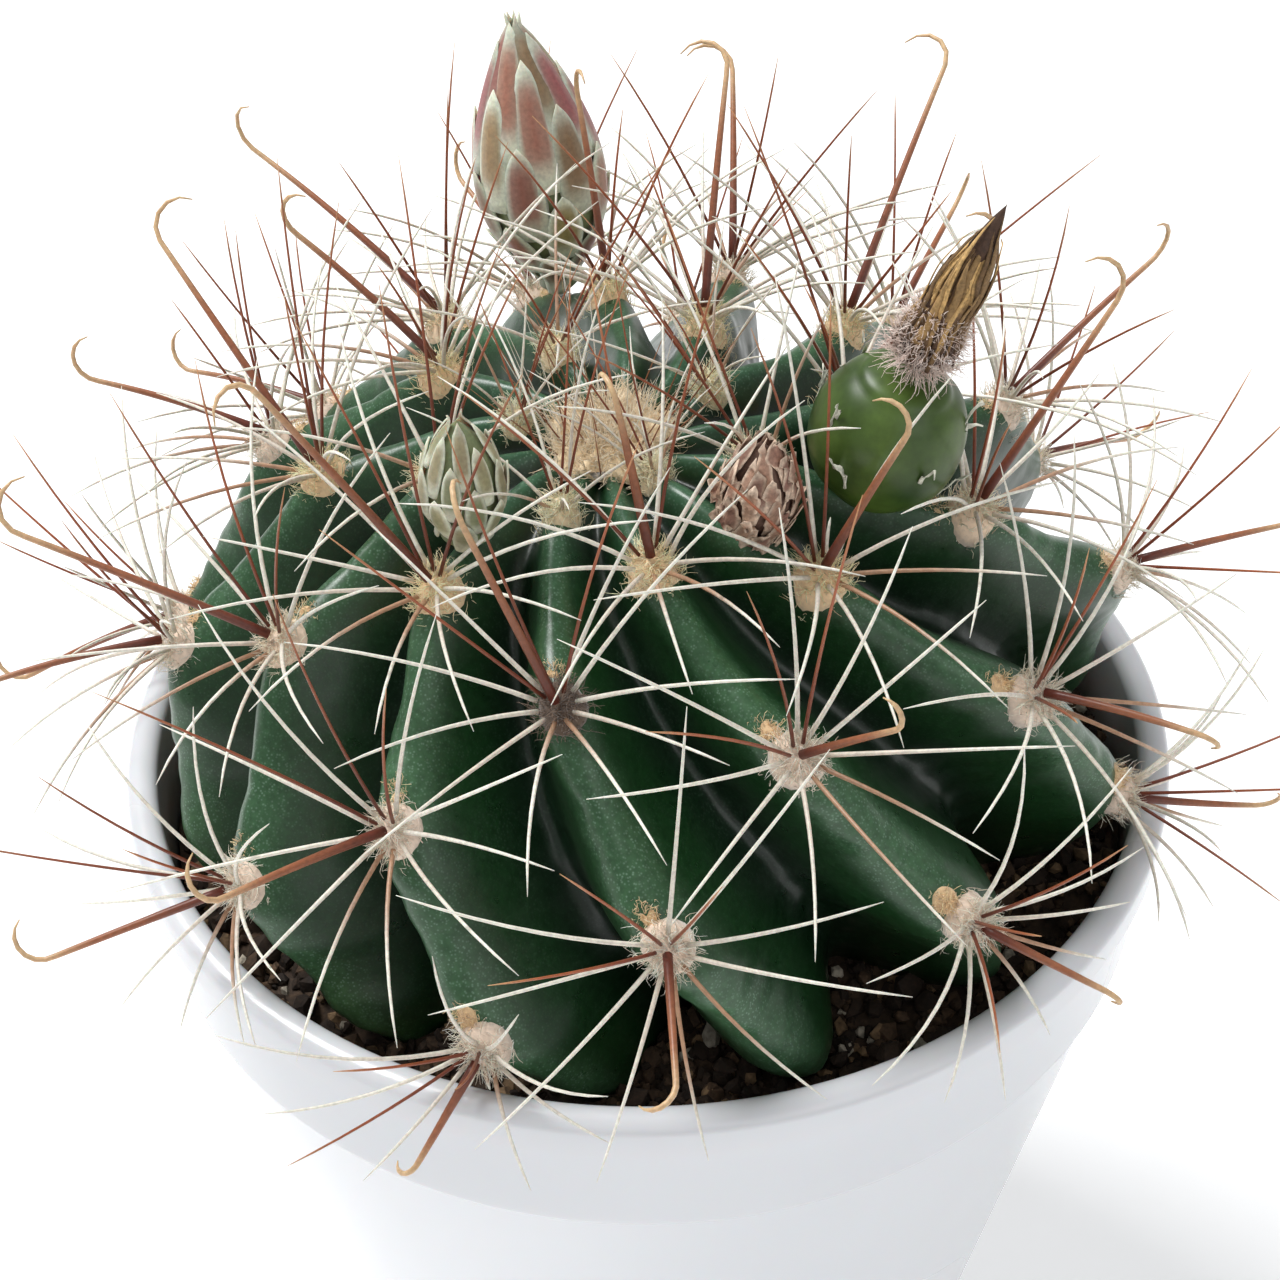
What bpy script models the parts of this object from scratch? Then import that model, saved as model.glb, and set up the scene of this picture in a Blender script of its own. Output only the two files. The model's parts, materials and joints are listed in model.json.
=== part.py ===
"""Potted round cactus: a ribbed globular stem with hooked spines, buds and a fruit, in a tapered pot.

Metres, +Z up.  The origin is the centre of the pot's flat base, and the plant's front faces -Y.
"""
import math

import bpy
import numpy as np
from mathutils import Vector, geometry

MM = 0.001
GAP = 0.3 * MM                      # clearance between pieces that touch

# Pot: a thin tapered cup with a straight band and a rolled lip at its mouth
POT_HEIGHT = 80 * MM
POT_RIM_RADIUS = 45 * MM
POT_BASE_RADIUS = 30.5 * MM
POT_WALL = 1.3 * MM
POT_FLOOR = 2.2 * MM
LIP_HEIGHT = 3.4 * MM
LIP_OVERHANG = 1.4 * MM             # how far the lip stands out from the collar
COLLAR_HEIGHT = 10.5 * MM           # straight band below the lip
COLLAR_STEP = 0.7 * MM              # step from the collar to the tapered side
POT_SIDES = 52
BASE_EDGE = 0.6 * MM                # bevel round the foot
LIP_EDGE = 0.5 * MM                 # bevel under the lip
FLOOR_EDGE = 1 * MM                 # bevel round the inside of the floor

# Soil
SOIL_BELOW_RIM = 8 * MM

# Stem: a squat globe, a and c in the formulas below
STEM_RIM_GAP = 0.9 * MM             # from the ribs to the mouth of the pot
STEM_ROWS = 36                      # rings of points from the soil to the crown
STEM_HALF_HEIGHT = 27.5 * MM
STEM_ABOVE_RIM = 5.7 * MM           # centre of the globe above the rim
STEM_BURIED = 6 * MM
LEAN_RIGHT = math.radians(-5.2)     # the apex leans to -X
LEAN_FRONT = math.radians(3.9)      # the apex leans to -Y
LEAN_FADE = 18 * MM                 # height above the soil over which the lean sets in
CROWN_DIP = 3.5 * MM
FURROW_DEPTH = 11 * MM
CHIN_HEIGHT = 1.4 * MM              # swelling of a rib at each areole
CREST_POWER = 1.1                   # above 1 the crests are broad, below 1 sharp
CREST_SWELL = 0.15                  # how much broader the crest is at an areole

# Phyllotaxis: areole number n counts outward from the apex
RIBS = 13
GOLDEN = 180 * (3 - math.sqrt(5))
TWIST = 1800 - RIBS * GOLDEN        # degrees that a rib turns between two of its areoles
START = 183.1                       # azimuth of areole 0
RIM_CLEARANCE = 0.5 * MM            # from the lowest pads to the pot's rim
YOUNGEST = 7
OLDEST = 46
MATURE = 14
POLAR_LINEAR = 1.255
POLAR_SQUARE = 0.0185

# Areoles and spines
PAD_RADIUS = 2.1 * MM
PAD_CLEARANCE = 0.4 * MM            # more than the gap, for the stem's flat facets
PAD_HEIGHT = 1.2 * MM
OWN_SPACING = 0.08 * MM             # between spines of one areole
NEIGHBOUR_SPACING = GAP + 0.1 * MM  # between spines of two areoles
BODY_SPACING = GAP + 0.3 * MM       # from a spine to the stem, the soil and the pot
ROOT_ZONE = 1.6 * MM                # part of a spine, from its root, that may lie nearer the stem
RIM_SPACING = 1.5 * MM              # further room inside the pot's mouth
RADIAL_LENGTH = 18 * MM
UPRIGHT_LENGTH = 22 * MM
HOOK_RADIUS = 2.2 * MM
HOOK_TURN = math.radians(150)
RADIAL_WIDTH = 0.27 * MM            # half widths at the root
UPRIGHT_WIDTH = 0.25 * MM
CENTRAL_WIDTH = 0.42 * MM
RADIAL_BEND = 0.06                   # bow of a radial, as a share of its length
RADIALS = 10
RIM_SHORTENING = 0.45               # share that the rim takes off the lowest areoles' spines
YOUNG_RADIALS = 6
# Hooked central spines that lean their own way: areole -> swing from straight down the rib and
# lift off the stem (degrees), length (mm), and which way the hook turns (0 is toward the apex)
CENTRAL_LEAN = {
    14: (10, 50, 22, 90), 15: (174, 65, 14, 0), 18: (-105, 68, 22, 180), 20: (75, 68, 14.5, 0),
    21: (-80, 48, 24, 0), 22: (12, 58, 24, 90), 23: (-167, 56, 18, 0), 24: (5, 50, 25, 0),
    25: (60, 60, 20, 0), 26: (-75, 55, 22, 0), 27: (8, 66, 20, 90), 28: (48, 62, 11, 0),
    30: (6, 58, 18, 0), 31: (-55, 58, 16, 0), 33: (-20, 52, 13, 180), 36: (-28, 58, 12.5, -90),
    38: (3, 60, 14, 0), 39: (-68, 52, 16, 0), 41: (15, 56, 11, 180), 44: (-62, 50, 9.5, -90),
    46: (45, 58, 12, 0),
}
OTHER_LEAN = (0, 55, 17, 0)

# Buds and fruit: each stands on a rib, this far above the areole that bore it
FLOWER_BUD = {"areole": 32, "set": 5.6 * MM, "radius": 5.5 * MM, "length": 25.2 * MM,
              "lean": -0.1}
GREEN_BUD = {"areole": 18, "set": 4.9 * MM, "radius": 3.0 * MM, "length": 11.6 * MM,
             "lean": 0.12}
DRIED_BUD = {"areole": 20, "set": 5.6 * MM, "radius": 2.6 * MM, "length": 9.8 * MM}
FRUIT = {"areole": 25, "set": 8.8 * MM, "radius": 5.8 * MM, "length": 12.4 * MM}
DRIED_FLOWER_LENGTH = 15 * MM
DRIED_FLOWER_RADIUS = 2.5 * MM
CROWN_WOOL_CLEARANCE = 0.6 * MM      # from the youngest areole's pad
CROWN_WOOL_WAVE = 0.1
CROWN_WOOL_HEIGHT = 1.6 * MM
CROWN_WOOL_LIFT = 0.45 * MM         # more than the gap, for the stem's flat facets

MOUTH_RADIUS = POT_RIM_RADIUS - LIP_OVERHANG - POT_WALL
COLLAR_FOOT = POT_HEIGHT - LIP_HEIGHT - COLLAR_HEIGHT
STEM_RADIUS = MOUTH_RADIUS - STEM_RIM_GAP
STEM_CENTRE = POT_HEIGHT + STEM_ABOVE_RIM
SOIL_TOP = POT_HEIGHT - SOIL_BELOW_RIM


# ---------------------------------------------------------------- stem surface

def smooth(x):
    """Ease from 0 to 1: 3x^2 - 2x^3, x clipped to 0..1."""
    x = np.clip(x, 0, 1)
    return x * x * (3 - 2 * x)


def polar_of(n):
    """Angle from the apex, in radians, of areole number n (a real number between areoles)."""
    return np.radians(POLAR_LINEAR * n + POLAR_SQUARE * n * n)


def number_of(polar):
    """Inverse of polar_of."""
    degrees = np.degrees(polar)
    root = np.sqrt(POLAR_LINEAR ** 2 + 4 * POLAR_SQUARE * degrees)
    return (root - POLAR_LINEAR) / (2 * POLAR_SQUARE)


def rib_phase(azimuth, n):
    """Ribs counted round the stem: whole numbers on crests, halves in furrows."""
    return (np.degrees(azimuth) - START - n * TWIST / RIBS) * RIBS / 360


def rib_azimuth(phase, n):
    """Inverse of rib_phase."""
    return np.radians(START + n * TWIST / RIBS + phase * 360 / RIBS)


def stem_scale(n, phase):
    """Share of the plain globe's radius that the ribbed stem has."""
    polar = polar_of(n)
    rib = np.round(phase)
    furrow = np.sin(math.pi * (phase - rib)) ** 2
    depth = FURROW_DEPTH / STEM_RADIUS * smooth(polar / 1.1 + 0.15)
    chin = CHIN_HEIGHT / STEM_RADIUS * smooth(polar / 0.5) * smooth((2.0 - polar) / 0.3)
    beat = np.cos(2 * math.pi * (n - 5 * rib - 0.6) / RIBS)
    dip = CROWN_DIP / STEM_HALF_HEIGHT * np.exp(-(polar / 0.2) ** 2)
    groove = furrow ** (CREST_POWER + CREST_SWELL * beat)
    return 1 - depth * groove + chin * (beat - 1) * 0.5 * (1 - furrow) - dip


def lean(point, sign):
    """Tip the upper stem over; the lean fades out to nothing at the soil line."""
    share = sign * smooth((point[..., 2] + STEM_ABOVE_RIM + SOIL_BELOW_RIM) / LEAN_FADE)
    x, y, z = point[..., 0], point[..., 1], point[..., 2]
    right, front = LEAN_RIGHT, LEAN_FRONT
    return np.stack([x + share * right * z, y - share * front * z,
                     z + share * (front * y - right * x)], -1)


def stem_point(n, phase, grow=0.0):
    """Point of the stem's surface at areole number n and rib phase."""
    n, phase = np.broadcast_arrays(np.asarray(n, float), np.asarray(phase, float))
    polar = polar_of(n)
    azimuth = rib_azimuth(phase, n)
    scale = stem_scale(n, phase)
    flat = STEM_RADIUS * np.sin(polar) * scale + grow
    height = STEM_HALF_HEIGHT * np.cos(polar) * np.where(polar < math.pi / 2, scale, 1)
    local = np.stack([flat * np.cos(azimuth), flat * np.sin(azimuth), height], -1)
    return lean(local, 1) + np.array([0, 0, STEM_CENTRE])


def stem_distance(point):
    """Rough distance of points outside the stem's surface, negative inside."""
    local = np.asarray(point, float) - np.array([0, 0, STEM_CENTRE])
    upright = lean(local, -1)
    flat = np.hypot(upright[..., 0], upright[..., 1])
    azimuth = np.arctan2(upright[..., 1], upright[..., 0])
    high = upright[..., 2] > 0
    round_polar = np.arctan2(flat / STEM_RADIUS, upright[..., 2] / STEM_HALF_HEIGHT)
    low_polar = np.arccos(np.clip(upright[..., 2] / STEM_HALF_HEIGHT, -0.95, 0))
    polar = np.where(high, round_polar, low_polar)
    n = number_of(polar)
    scale = stem_scale(n, rib_phase(azimuth, n))
    globe = np.hypot(flat / STEM_RADIUS, upright[..., 2] / STEM_HALF_HEIGHT)
    here = np.where(high, globe, flat / (STEM_RADIUS * np.sin(low_polar)))
    size = np.where(high, STEM_HALF_HEIGHT + (STEM_RADIUS - STEM_HALF_HEIGHT) * np.sin(polar),
                    STEM_RADIUS)
    return (here - scale) * size


def unit(vector):
    return vector / np.linalg.norm(vector, axis=-1, keepdims=True)


def stem_frame(n, phase):
    """Surface point with its side, up-the-rib and outward directions."""
    here = stem_point(n, phase)
    step = 0.4
    up = unit(stem_point(n - step, phase) - stem_point(n + step, phase))
    across = stem_point(n, phase + 0.04) - stem_point(n, phase - 0.04)
    out = unit(np.cross(unit(across), up))
    side = np.cross(up, out)
    return here, side, up, out


def areole_phase(n):
    """Rib that areole n stands on, as a whole number."""
    return -5 * n


def pad_radius(n):
    return PAD_RADIUS * (0.62 + 0.38 * float(smooth((n - YOUNGEST) / (MATURE - YOUNGEST))))


def areole_frame(n):
    """Frame of areole n, kept up the rib where its pad would touch the pot's rim."""
    place = float(n)
    lowest = POT_HEIGHT + pad_radius(n) + RIM_CLEARANCE
    while place > MATURE and stem_point(place, areole_phase(n))[2] < lowest:
        place -= 0.1
    return stem_frame(place, areole_phase(n))


# ---------------------------------------------------------------- meshes

def material(name, colour, roughness, metallic=0.0):
    made = bpy.data.materials.new(name)
    made.use_nodes = True
    shader = made.node_tree.nodes["Principled BSDF"]
    shader.inputs["Base Color"].default_value = (*colour, 1)
    shader.inputs["Roughness"].default_value = roughness
    shader.inputs["Metallic"].default_value = metallic
    return made


def add_object(name, vertices, faces, made_of, sharp=40):
    mesh = bpy.data.meshes.new(name)
    mesh.from_pydata([tuple(float(c) for c in v) for v in vertices], [], faces)
    mesh.validate()
    mesh.shade_smooth()
    mesh.set_sharp_from_angle(angle=math.radians(sharp))
    mesh.materials.append(made_of)
    made = bpy.data.objects.new(name, mesh)
    bpy.context.scene.collection.objects.link(made)
    return made


def ring_faces(rings, columns):
    """Quads between successive closed rings of vertices, facing outward when rings run upward."""
    faces = []
    for row in range(rings - 1):
        for column in range(columns):
            after = (column + 1) % columns
            low, high = row * columns, (row + 1) * columns
            faces.append((low + column, low + after, high + after, high + column))
    return faces


def closed_rings(rows, first_pole, last_pole):
    """Vertices and faces of a body made of rings, closed by a pole at each end."""
    columns = len(rows[0])
    vertices = np.concatenate([np.concatenate(rows), [first_pole, last_pole]])
    faces = ring_faces(len(rows), columns)
    first, last = len(rows) * columns, len(rows) * columns + 1
    top = (len(rows) - 1) * columns
    for column in range(columns):
        after = (column + 1) % columns
        faces.append((first, after, column))
        faces.append((last, top + column, top + after))
    return vertices, faces


def axis_frame(axis):
    """Two unit vectors square to an axis."""
    helper = np.array([0, 0, 1.0]) if abs(axis[2]) < 0.9 else np.array([1.0, 0, 0])
    first = unit(np.cross(helper, axis))
    return first, np.cross(axis, first)


def turned_body(name, profile, origin, axis, sides, made_of):
    """Body turned about an axis; the profile lists (height, radius) between its two poles."""
    first, second = axis_frame(axis)
    angles = np.arange(sides) * 2 * math.pi / sides
    spread = np.cos(angles)[:, None] * first + np.sin(angles)[:, None] * second
    rows = [origin + axis * height + spread * radius for height, radius in profile[1:-1]]
    poles = [origin + axis * profile[0][0], origin + axis * profile[-1][0]]
    vertices, faces = closed_rings(rows, *poles)
    return add_object(name, vertices, faces, made_of)


# ---------------------------------------------------------------- pot, soil, stem

def wall_outer(z):
    """Outer radius of the pot's side below the lip."""
    if z >= COLLAR_FOOT:
        return POT_RIM_RADIUS - LIP_OVERHANG
    top = POT_RIM_RADIUS - LIP_OVERHANG - COLLAR_STEP
    return POT_BASE_RADIUS + (top - POT_BASE_RADIUS) * z / COLLAR_FOOT


def wall_inner(z):
    """Inner radius of the pot: one wall inside the tapered side, then straight to the mouth."""
    if z <= COLLAR_FOOT:
        top = POT_RIM_RADIUS - LIP_OVERHANG - COLLAR_STEP
        return POT_BASE_RADIUS - POT_WALL + (top - POT_BASE_RADIUS) * z / COLLAR_FOOT
    share = (z - COLLAR_FOOT) / (POT_HEIGHT - COLLAR_FOOT)
    low = POT_RIM_RADIUS - LIP_OVERHANG - COLLAR_STEP - POT_WALL
    return low + (MOUTH_RADIUS - low) * share


def pot_profile():
    """Outer side upward from the base, over the lip, down the inside to the floor."""
    lip_foot = POT_HEIGHT - LIP_HEIGHT
    collar = POT_RIM_RADIUS - LIP_OVERHANG
    points = [(0, POT_BASE_RADIUS - BASE_EDGE), (BASE_EDGE, wall_outer(BASE_EDGE))]
    side_top = COLLAR_FOOT - LIP_EDGE
    points += [(side_top, wall_outer(side_top)), (COLLAR_FOOT, collar),
               (lip_foot - 0.8 * LIP_EDGE, collar), (lip_foot, POT_RIM_RADIUS - LIP_EDGE)]
    curl = (POT_RIM_RADIUS - MOUTH_RADIUS) / 2
    middle = POT_RIM_RADIUS - curl
    points.append((lip_foot + LIP_EDGE, POT_RIM_RADIUS))
    for step in range(7):
        angle = math.pi * step / 6
        points.append((POT_HEIGHT - curl * 0.8 * (1 - math.sin(angle)), middle + curl * math.cos(angle)))
    inner_top = POT_HEIGHT - 3 * MM
    points += [(inner_top, wall_inner(inner_top)), (COLLAR_FOOT, wall_inner(COLLAR_FOOT)),
               (POT_FLOOR + FLOOR_EDGE, wall_inner(POT_FLOOR + FLOOR_EDGE)),
               (POT_FLOOR, wall_inner(POT_FLOOR) - FLOOR_EDGE)]
    return points


def make_pot(made_of):
    angles = np.arange(POT_SIDES) * 2 * math.pi / POT_SIDES
    around = np.stack([np.cos(angles), np.sin(angles), 0 * angles], -1)
    rows = [around * radius + np.array([0, 0, z]) for z, radius in pot_profile()]
    vertices, faces = closed_rings(rows, np.zeros(3), np.array([0, 0, POT_FLOOR]))
    return add_object("pot", vertices, faces, made_of, sharp=30)


COLUMNS = 8 * RIBS
SOIL_POLAR = math.acos(-(STEM_ABOVE_RIM + SOIL_BELOW_RIM) / STEM_HALF_HEIGHT)
BOTTOM_POLAR = math.acos(-(STEM_ABOVE_RIM + SOIL_BELOW_RIM + STEM_BURIED) / STEM_HALF_HEIGHT)


def stem_row(polar, grow=0.0):
    n = number_of(polar)
    phases = np.arange(COLUMNS) * RIBS / COLUMNS
    return stem_point(n, phases, grow)


def make_stem(made_of):
    buried = np.linspace(BOTTOM_POLAR, SOIL_POLAR, 3)
    shown = SOIL_POLAR * np.linspace(1, 0.065, STEM_ROWS)[1:] ** 1.35
    rows = [stem_row(polar) for polar in np.concatenate([buried, shown])]
    bottom = np.array([0, 0, rows[0][0, 2]])
    vertices, faces = closed_rings(rows, bottom, stem_point(0.01, 0.0))
    return add_object("stem", vertices, faces, made_of, sharp=60)


def make_soil(made_of):
    """Filling of the pot, with a hollow the shape of the buried stem."""
    angles = rib_azimuth(np.arange(COLUMNS) * RIBS / COLUMNS, number_of(SOIL_POLAR))
    around = np.stack([np.cos(angles), np.sin(angles), 0 * angles], -1)
    bottom = POT_FLOOR + GAP
    clear = GAP + 0.1 * MM
    rows = [around * (wall_inner(bottom) - clear - 1.2 * MM) + np.array([0, 0, bottom])]
    for z in (bottom + 1.2 * MM, COLLAR_FOOT, SOIL_TOP):
        rows.append(around * (wall_inner(z) - clear) + np.array([0, 0, z]))
    rows += [stem_row(polar, GAP + 0.1 * MM) for polar in np.linspace(SOIL_POLAR, BOTTOM_POLAR, 3)]
    rows[-1][:, 2] -= GAP
    hollow = np.array([0, 0, rows[-1][0, 2]])
    vertices, faces = closed_rings(rows, np.array([0, 0, bottom]), hollow)
    return add_object("soil", vertices, faces, made_of, sharp=60)


def make_crown_wool(made_of):
    """Low cushion of felt in the dip at the apex."""
    columns = 26
    angles = np.arange(columns) * 2 * math.pi / columns
    reach = STEM_RADIUS * math.sin(polar_of(YOUNGEST)) - pad_radius(YOUNGEST) - CROWN_WOOL_CLEARANCE
    flat_radii = reach / (1 + CROWN_WOOL_WAVE) * np.array([0.35, 0.7, 1.0, 0.75, 0.4])
    lifts = [GAP, GAP, GAP + 0.25 * MM, GAP + 0.75 * CROWN_WOOL_HEIGHT, GAP + CROWN_WOOL_HEIGHT]
    rows = []
    for radius, lift in zip(flat_radii, lifts):
        wave = radius * (1 + CROWN_WOOL_WAVE * np.sin(5 * angles + 1))
        n = number_of(np.arcsin(wave / STEM_RADIUS))
        phase = rib_phase(angles, n)
        rows.append(stem_point(n, phase) + np.array([0, 0, lift + CROWN_WOOL_LIFT]))
    apex = stem_point(0.01, 0.0)
    poles = [apex + np.array([0, 0, GAP + CROWN_WOOL_LIFT]),
             apex + np.array([0, 0, GAP + CROWN_WOOL_HEIGHT + 2 * CROWN_WOOL_LIFT])]
    vertices, faces = closed_rings(rows, *poles)
    return add_object("crown_wool", vertices, faces, made_of)


# ---------------------------------------------------------------- spines

def spine_path(spine, t):
    """Points along a spine for t in 0..1: a slightly bowed shaft, then an arc for the hook."""
    t = np.asarray(t, float)[:, None]
    root, along, bow = spine["root"], spine["along"], spine["bow"]
    length = spine["length"]
    if not spine["hooked"]:
        return root + along * length * t + bow * length * 4 * t * (1 - t)
    radius = spine["hook_radius"]
    shaft = length - radius
    total = shaft + radius * HOOK_TURN
    run = t * total
    on_shaft = np.clip(run / shaft, 0, 1)
    angle = np.clip((run - shaft) / radius, 0, HOOK_TURN)
    curl = spine["curl"]
    straight = root + along * shaft * on_shaft + bow * length * 4 * on_shaft * (1 - on_shaft)
    return straight + radius * (np.sin(angle) * along + (1 - np.cos(angle)) * curl)


def spine_stops(spine):
    """Where along a spine its mesh has rings."""
    if not spine["hooked"]:
        return np.array([0, 0.5, 1.0])
    shaft = spine["length"] - spine["hook_radius"]
    part = shaft / (shaft + spine["hook_radius"] * HOOK_TURN)
    return np.concatenate([[0, 0.5 * part], part + (1 - part) * np.array([0, 0.3, 0.6, 1.0])])


def spine_radius(spine, t):
    """Half width: a slow taper, then a sharp point."""
    t = np.asarray(t, float)
    return spine["width"] * (1 - 0.55 * t) * (1 - smooth((t - 0.9) / 0.1) * 0.7)


def segment_gap(a0, a1, b0, b1):
    """Least distance between each segment a (k,3) and each segment b (m,3), as (k,m)."""
    u = (a1 - a0)[:, None]
    v = (b1 - b0)[None]
    w = a0[:, None] - b0[None]
    uu, vv, uv = (u * u).sum(-1), (v * v).sum(-1), (u * v).sum(-1)
    uw, vw = (u * w).sum(-1), (v * w).sum(-1)
    cross = np.maximum(uu * vv - uv * uv, 1e-18)
    s = np.clip((uv * vw - vv * uw) / cross, 0, 1)
    t = np.clip((uv * s + vw) / vv, 0, 1)
    s = np.clip((uv * t - uw) / uu, 0, 1)
    return np.linalg.norm(w + s[..., None] * u - t[..., None] * v, axis=-1)


class Space:
    """Segments already placed, each with a half width and the cluster it belongs to."""

    def __init__(self):
        self.starts = np.zeros((0, 3))
        self.ends = np.zeros((0, 3))
        self.widths = np.zeros(0)
        self.owners = np.zeros(0, int)

    def add(self, points, widths, owner):
        self.starts = np.concatenate([self.starts, points[:-1]])
        self.ends = np.concatenate([self.ends, points[1:]])
        self.widths = np.concatenate([self.widths, np.maximum(widths[:-1], widths[1:])])
        self.owners = np.concatenate([self.owners, np.full(len(points) - 1, owner)])

    def clear(self, points, widths, owner):
        """Whether a spine keeps its distance from all that is placed."""
        if not len(self.widths):
            return True
        gaps = segment_gap(points[:-1], points[1:], self.starts, self.ends)
        own = np.maximum(widths[:-1], widths[1:])[:, None]
        spare = np.where(self.owners == owner, OWN_SPACING, NEIGHBOUR_SPACING)[None]
        return bool((gaps - own - self.widths[None] - spare).min() > 0)


def free_of_pot_and_stem(points, widths):
    """Whether points beyond a spine's root stay off the stem, the soil and the pot."""
    beyond = np.linalg.norm(points - points[0], axis=1) > ROOT_ZONE
    points, widths = points[beyond], widths[beyond]
    if (stem_distance(points) < widths + BODY_SPACING).any():
        return False
    flat = np.hypot(points[:, 0], points[:, 1])
    margin = widths + BODY_SPACING
    level_with_pot = points[:, 2] < POT_HEIGHT + margin
    in_wall = (flat > MOUTH_RADIUS - RIM_SPACING - margin) & (flat < POT_RIM_RADIUS + margin)
    in_soil = (points[:, 2] < SOIL_TOP + margin) & (flat < POT_RIM_RADIUS)
    return not (level_with_pot & in_wall).any() and not in_soil.any()


def direction(frame, around, lift):
    """Unit vector at an angle round the areole (0 is +side, 90 is up the rib), lifted off the stem."""
    _, side, up, out = frame
    around = math.radians(around)
    lift = math.radians(lift)
    flat = math.cos(around) * side + math.sin(around) * up
    return math.cos(lift) * flat + math.sin(lift) * out


def tries():
    """Small changes to a spine's lie, least first: swing, extra lift, share of its length."""
    found = []
    for share in (1.0, 0.85, 0.7, 0.55, 0.4, 0.25, 0.15):
        for lift in (0, 5, -5, 10, 17, 25, 35):
            for swing in (0, 5, -5, 10, -10, 16, -16):
                cost = abs(swing) + abs(lift) + 90 * (1 - share)
                found.append((cost, swing, lift, share))
    return [entry[1:] for entry in sorted(found)]


TRIES = tries()


def place_spine(space, frame, wanted, owner):
    """Settle one spine where it clears everything placed before it."""
    here, side, up, out = frame
    base = here + out * (GAP + 0.1 * MM)
    reach, turn = wanted["reach"], math.radians(wanted["around_root"])
    root = base + reach * (math.cos(turn) * side + math.sin(turn) * up) + out * wanted["rise"]
    for swing, lift, share in TRIES:
        along = direction(frame, wanted["around"] + swing, min(wanted["lift"] + lift, 88))
        bow = unit(out - along * (out @ along)) * wanted["bend"]
        bow = bow + unit(np.cross(along, out)) * wanted["sway"]
        curl = direction(frame, wanted["curl"], 0)
        curl = unit(curl - along * (curl @ along))
        spine = dict(wanted, root=root, along=along, bow=bow, curl=curl,
                     length=wanted["length"] * share)
        stops = spine_stops(spine)
        points = spine_path(spine, stops)
        widths = spine_radius(spine, stops)
        if not space.clear(points, widths, owner):
            continue
        fine = np.linspace(0, 1, 24)
        chords = np.stack([np.interp(fine, stops, points[:, axis]) for axis in range(3)], -1)
        if free_of_pot_and_stem(chords, spine_radius(spine, fine)):
            break
    space.add(points, widths, owner)
    return spine


def wanted_spines(n):
    """Spines of areole n before they are settled, the hooked one first."""
    rng = np.random.default_rng(n)
    age = float(smooth((n - YOUNGEST) / (MATURE - YOUNGEST)))
    pad = pad_radius(n)
    slim = pad / PAD_RADIUS
    crowded = RIM_SHORTENING * float(smooth((n - 33) / 10))
    found = []
    if n >= MATURE:
        swing, lift, length, roll = CENTRAL_LEAN.get(n, OTHER_LEAN)
        found.append({"kind": "central", "around": swing - 90, "lift": lift, "length": length * MM,
                      "width": CENTRAL_WIDTH, "reach": 0.0, "around_root": 0.0, "rise": 0.9 * PAD_HEIGHT,
                      "bend": 0.02, "sway": 0.0, "curl": 90 - roll, "hooked": True,
                      "hook_radius": HOOK_RADIUS * min(1, length / 18)})
    for spread in (40, 90, 140):
        length = UPRIGHT_LENGTH * (0.72 + 0.28 * age) * (1 - 0.6 * crowded) * rng.uniform(0.8, 1.08)
        found.append({"kind": "upright", "around": spread + rng.uniform(-8, 8),
                      "lift": 72 - 18 * age + rng.uniform(-6, 6), "length": length,
                      "width": UPRIGHT_WIDTH * slim, "reach": 0.42 * pad, "around_root": spread,
                      "rise": 0.75 * PAD_HEIGHT, "bend": 0.02, "sway": rng.uniform(-0.02, 0.02),
                      "curl": 90, "hooked": False})
    count = RADIALS if n >= MATURE else YOUNG_RADIALS
    for step in range(count):
        around = 124 + 292 * step / (count - 1)
        low = 0.5 - 0.5 * math.sin(math.radians(around))
        length = RADIAL_LENGTH * (0.62 + 0.38 * age) * (1.1 - 0.2 * low) * rng.uniform(0.86, 1.08)
        length *= 1 - crowded * (0.25 + 0.75 * low)
        found.append({"kind": "radial", "around": around + rng.uniform(-6, 6),
                      "lift": 48 - 26 * age + rng.uniform(-5, 7), "length": length,
                      "width": RADIAL_WIDTH * slim, "reach": 0.69 * pad, "around_root": around,
                      "rise": 0.5 * PAD_HEIGHT, "bend": RADIAL_BEND, "sway": rng.uniform(-0.03, 0.03),
                      "curl": 90, "hooked": False})
    return found


def settle_spines(numbers, blocks):
    """Spines of every areole: all the hooked ones are placed first, the radials last."""
    space = Space()
    for points, widths in blocks:
        space.add(points, widths, -1)
    frames = {n: areole_frame(n) for n in numbers}
    wanted = {n: wanted_spines(n) for n in numbers}
    settled = {n: [] for n in numbers}
    for kind in ("central", "upright", "radial"):
        for n in numbers:
            for spine in wanted[n]:
                if spine["kind"] == kind:
                    settled[n].append(place_spine(space, frames[n], spine, n))
    return frames, settled


# ---------------------------------------------------------------- areole clusters

OUTLINE = 10


def pad_height(frame, u, v, radius):
    """Height of the felt pad's top over the areole's tangent plane."""
    share = min(1.0, (u * u + v * v) / (radius * radius))
    return pad_underside(frame, u, v) + PAD_HEIGHT * math.sqrt(max(0.0, 1 - share)) * (1 - 0.25 * share)


def pad_underside(frame, u, v):
    """Height over the tangent plane at which the pad's flat-faced underside clears the stem.

    Where the stem curves down, the pad follows by half, so that a straight chord stays above it.
    """
    here, side, up, out = frame
    height = 0.0
    for _ in range(6):
        height -= float(stem_distance(here + u * side + v * up + height * out))
    return max(height, 0.5 * height) + GAP + PAD_CLEARANCE


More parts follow.
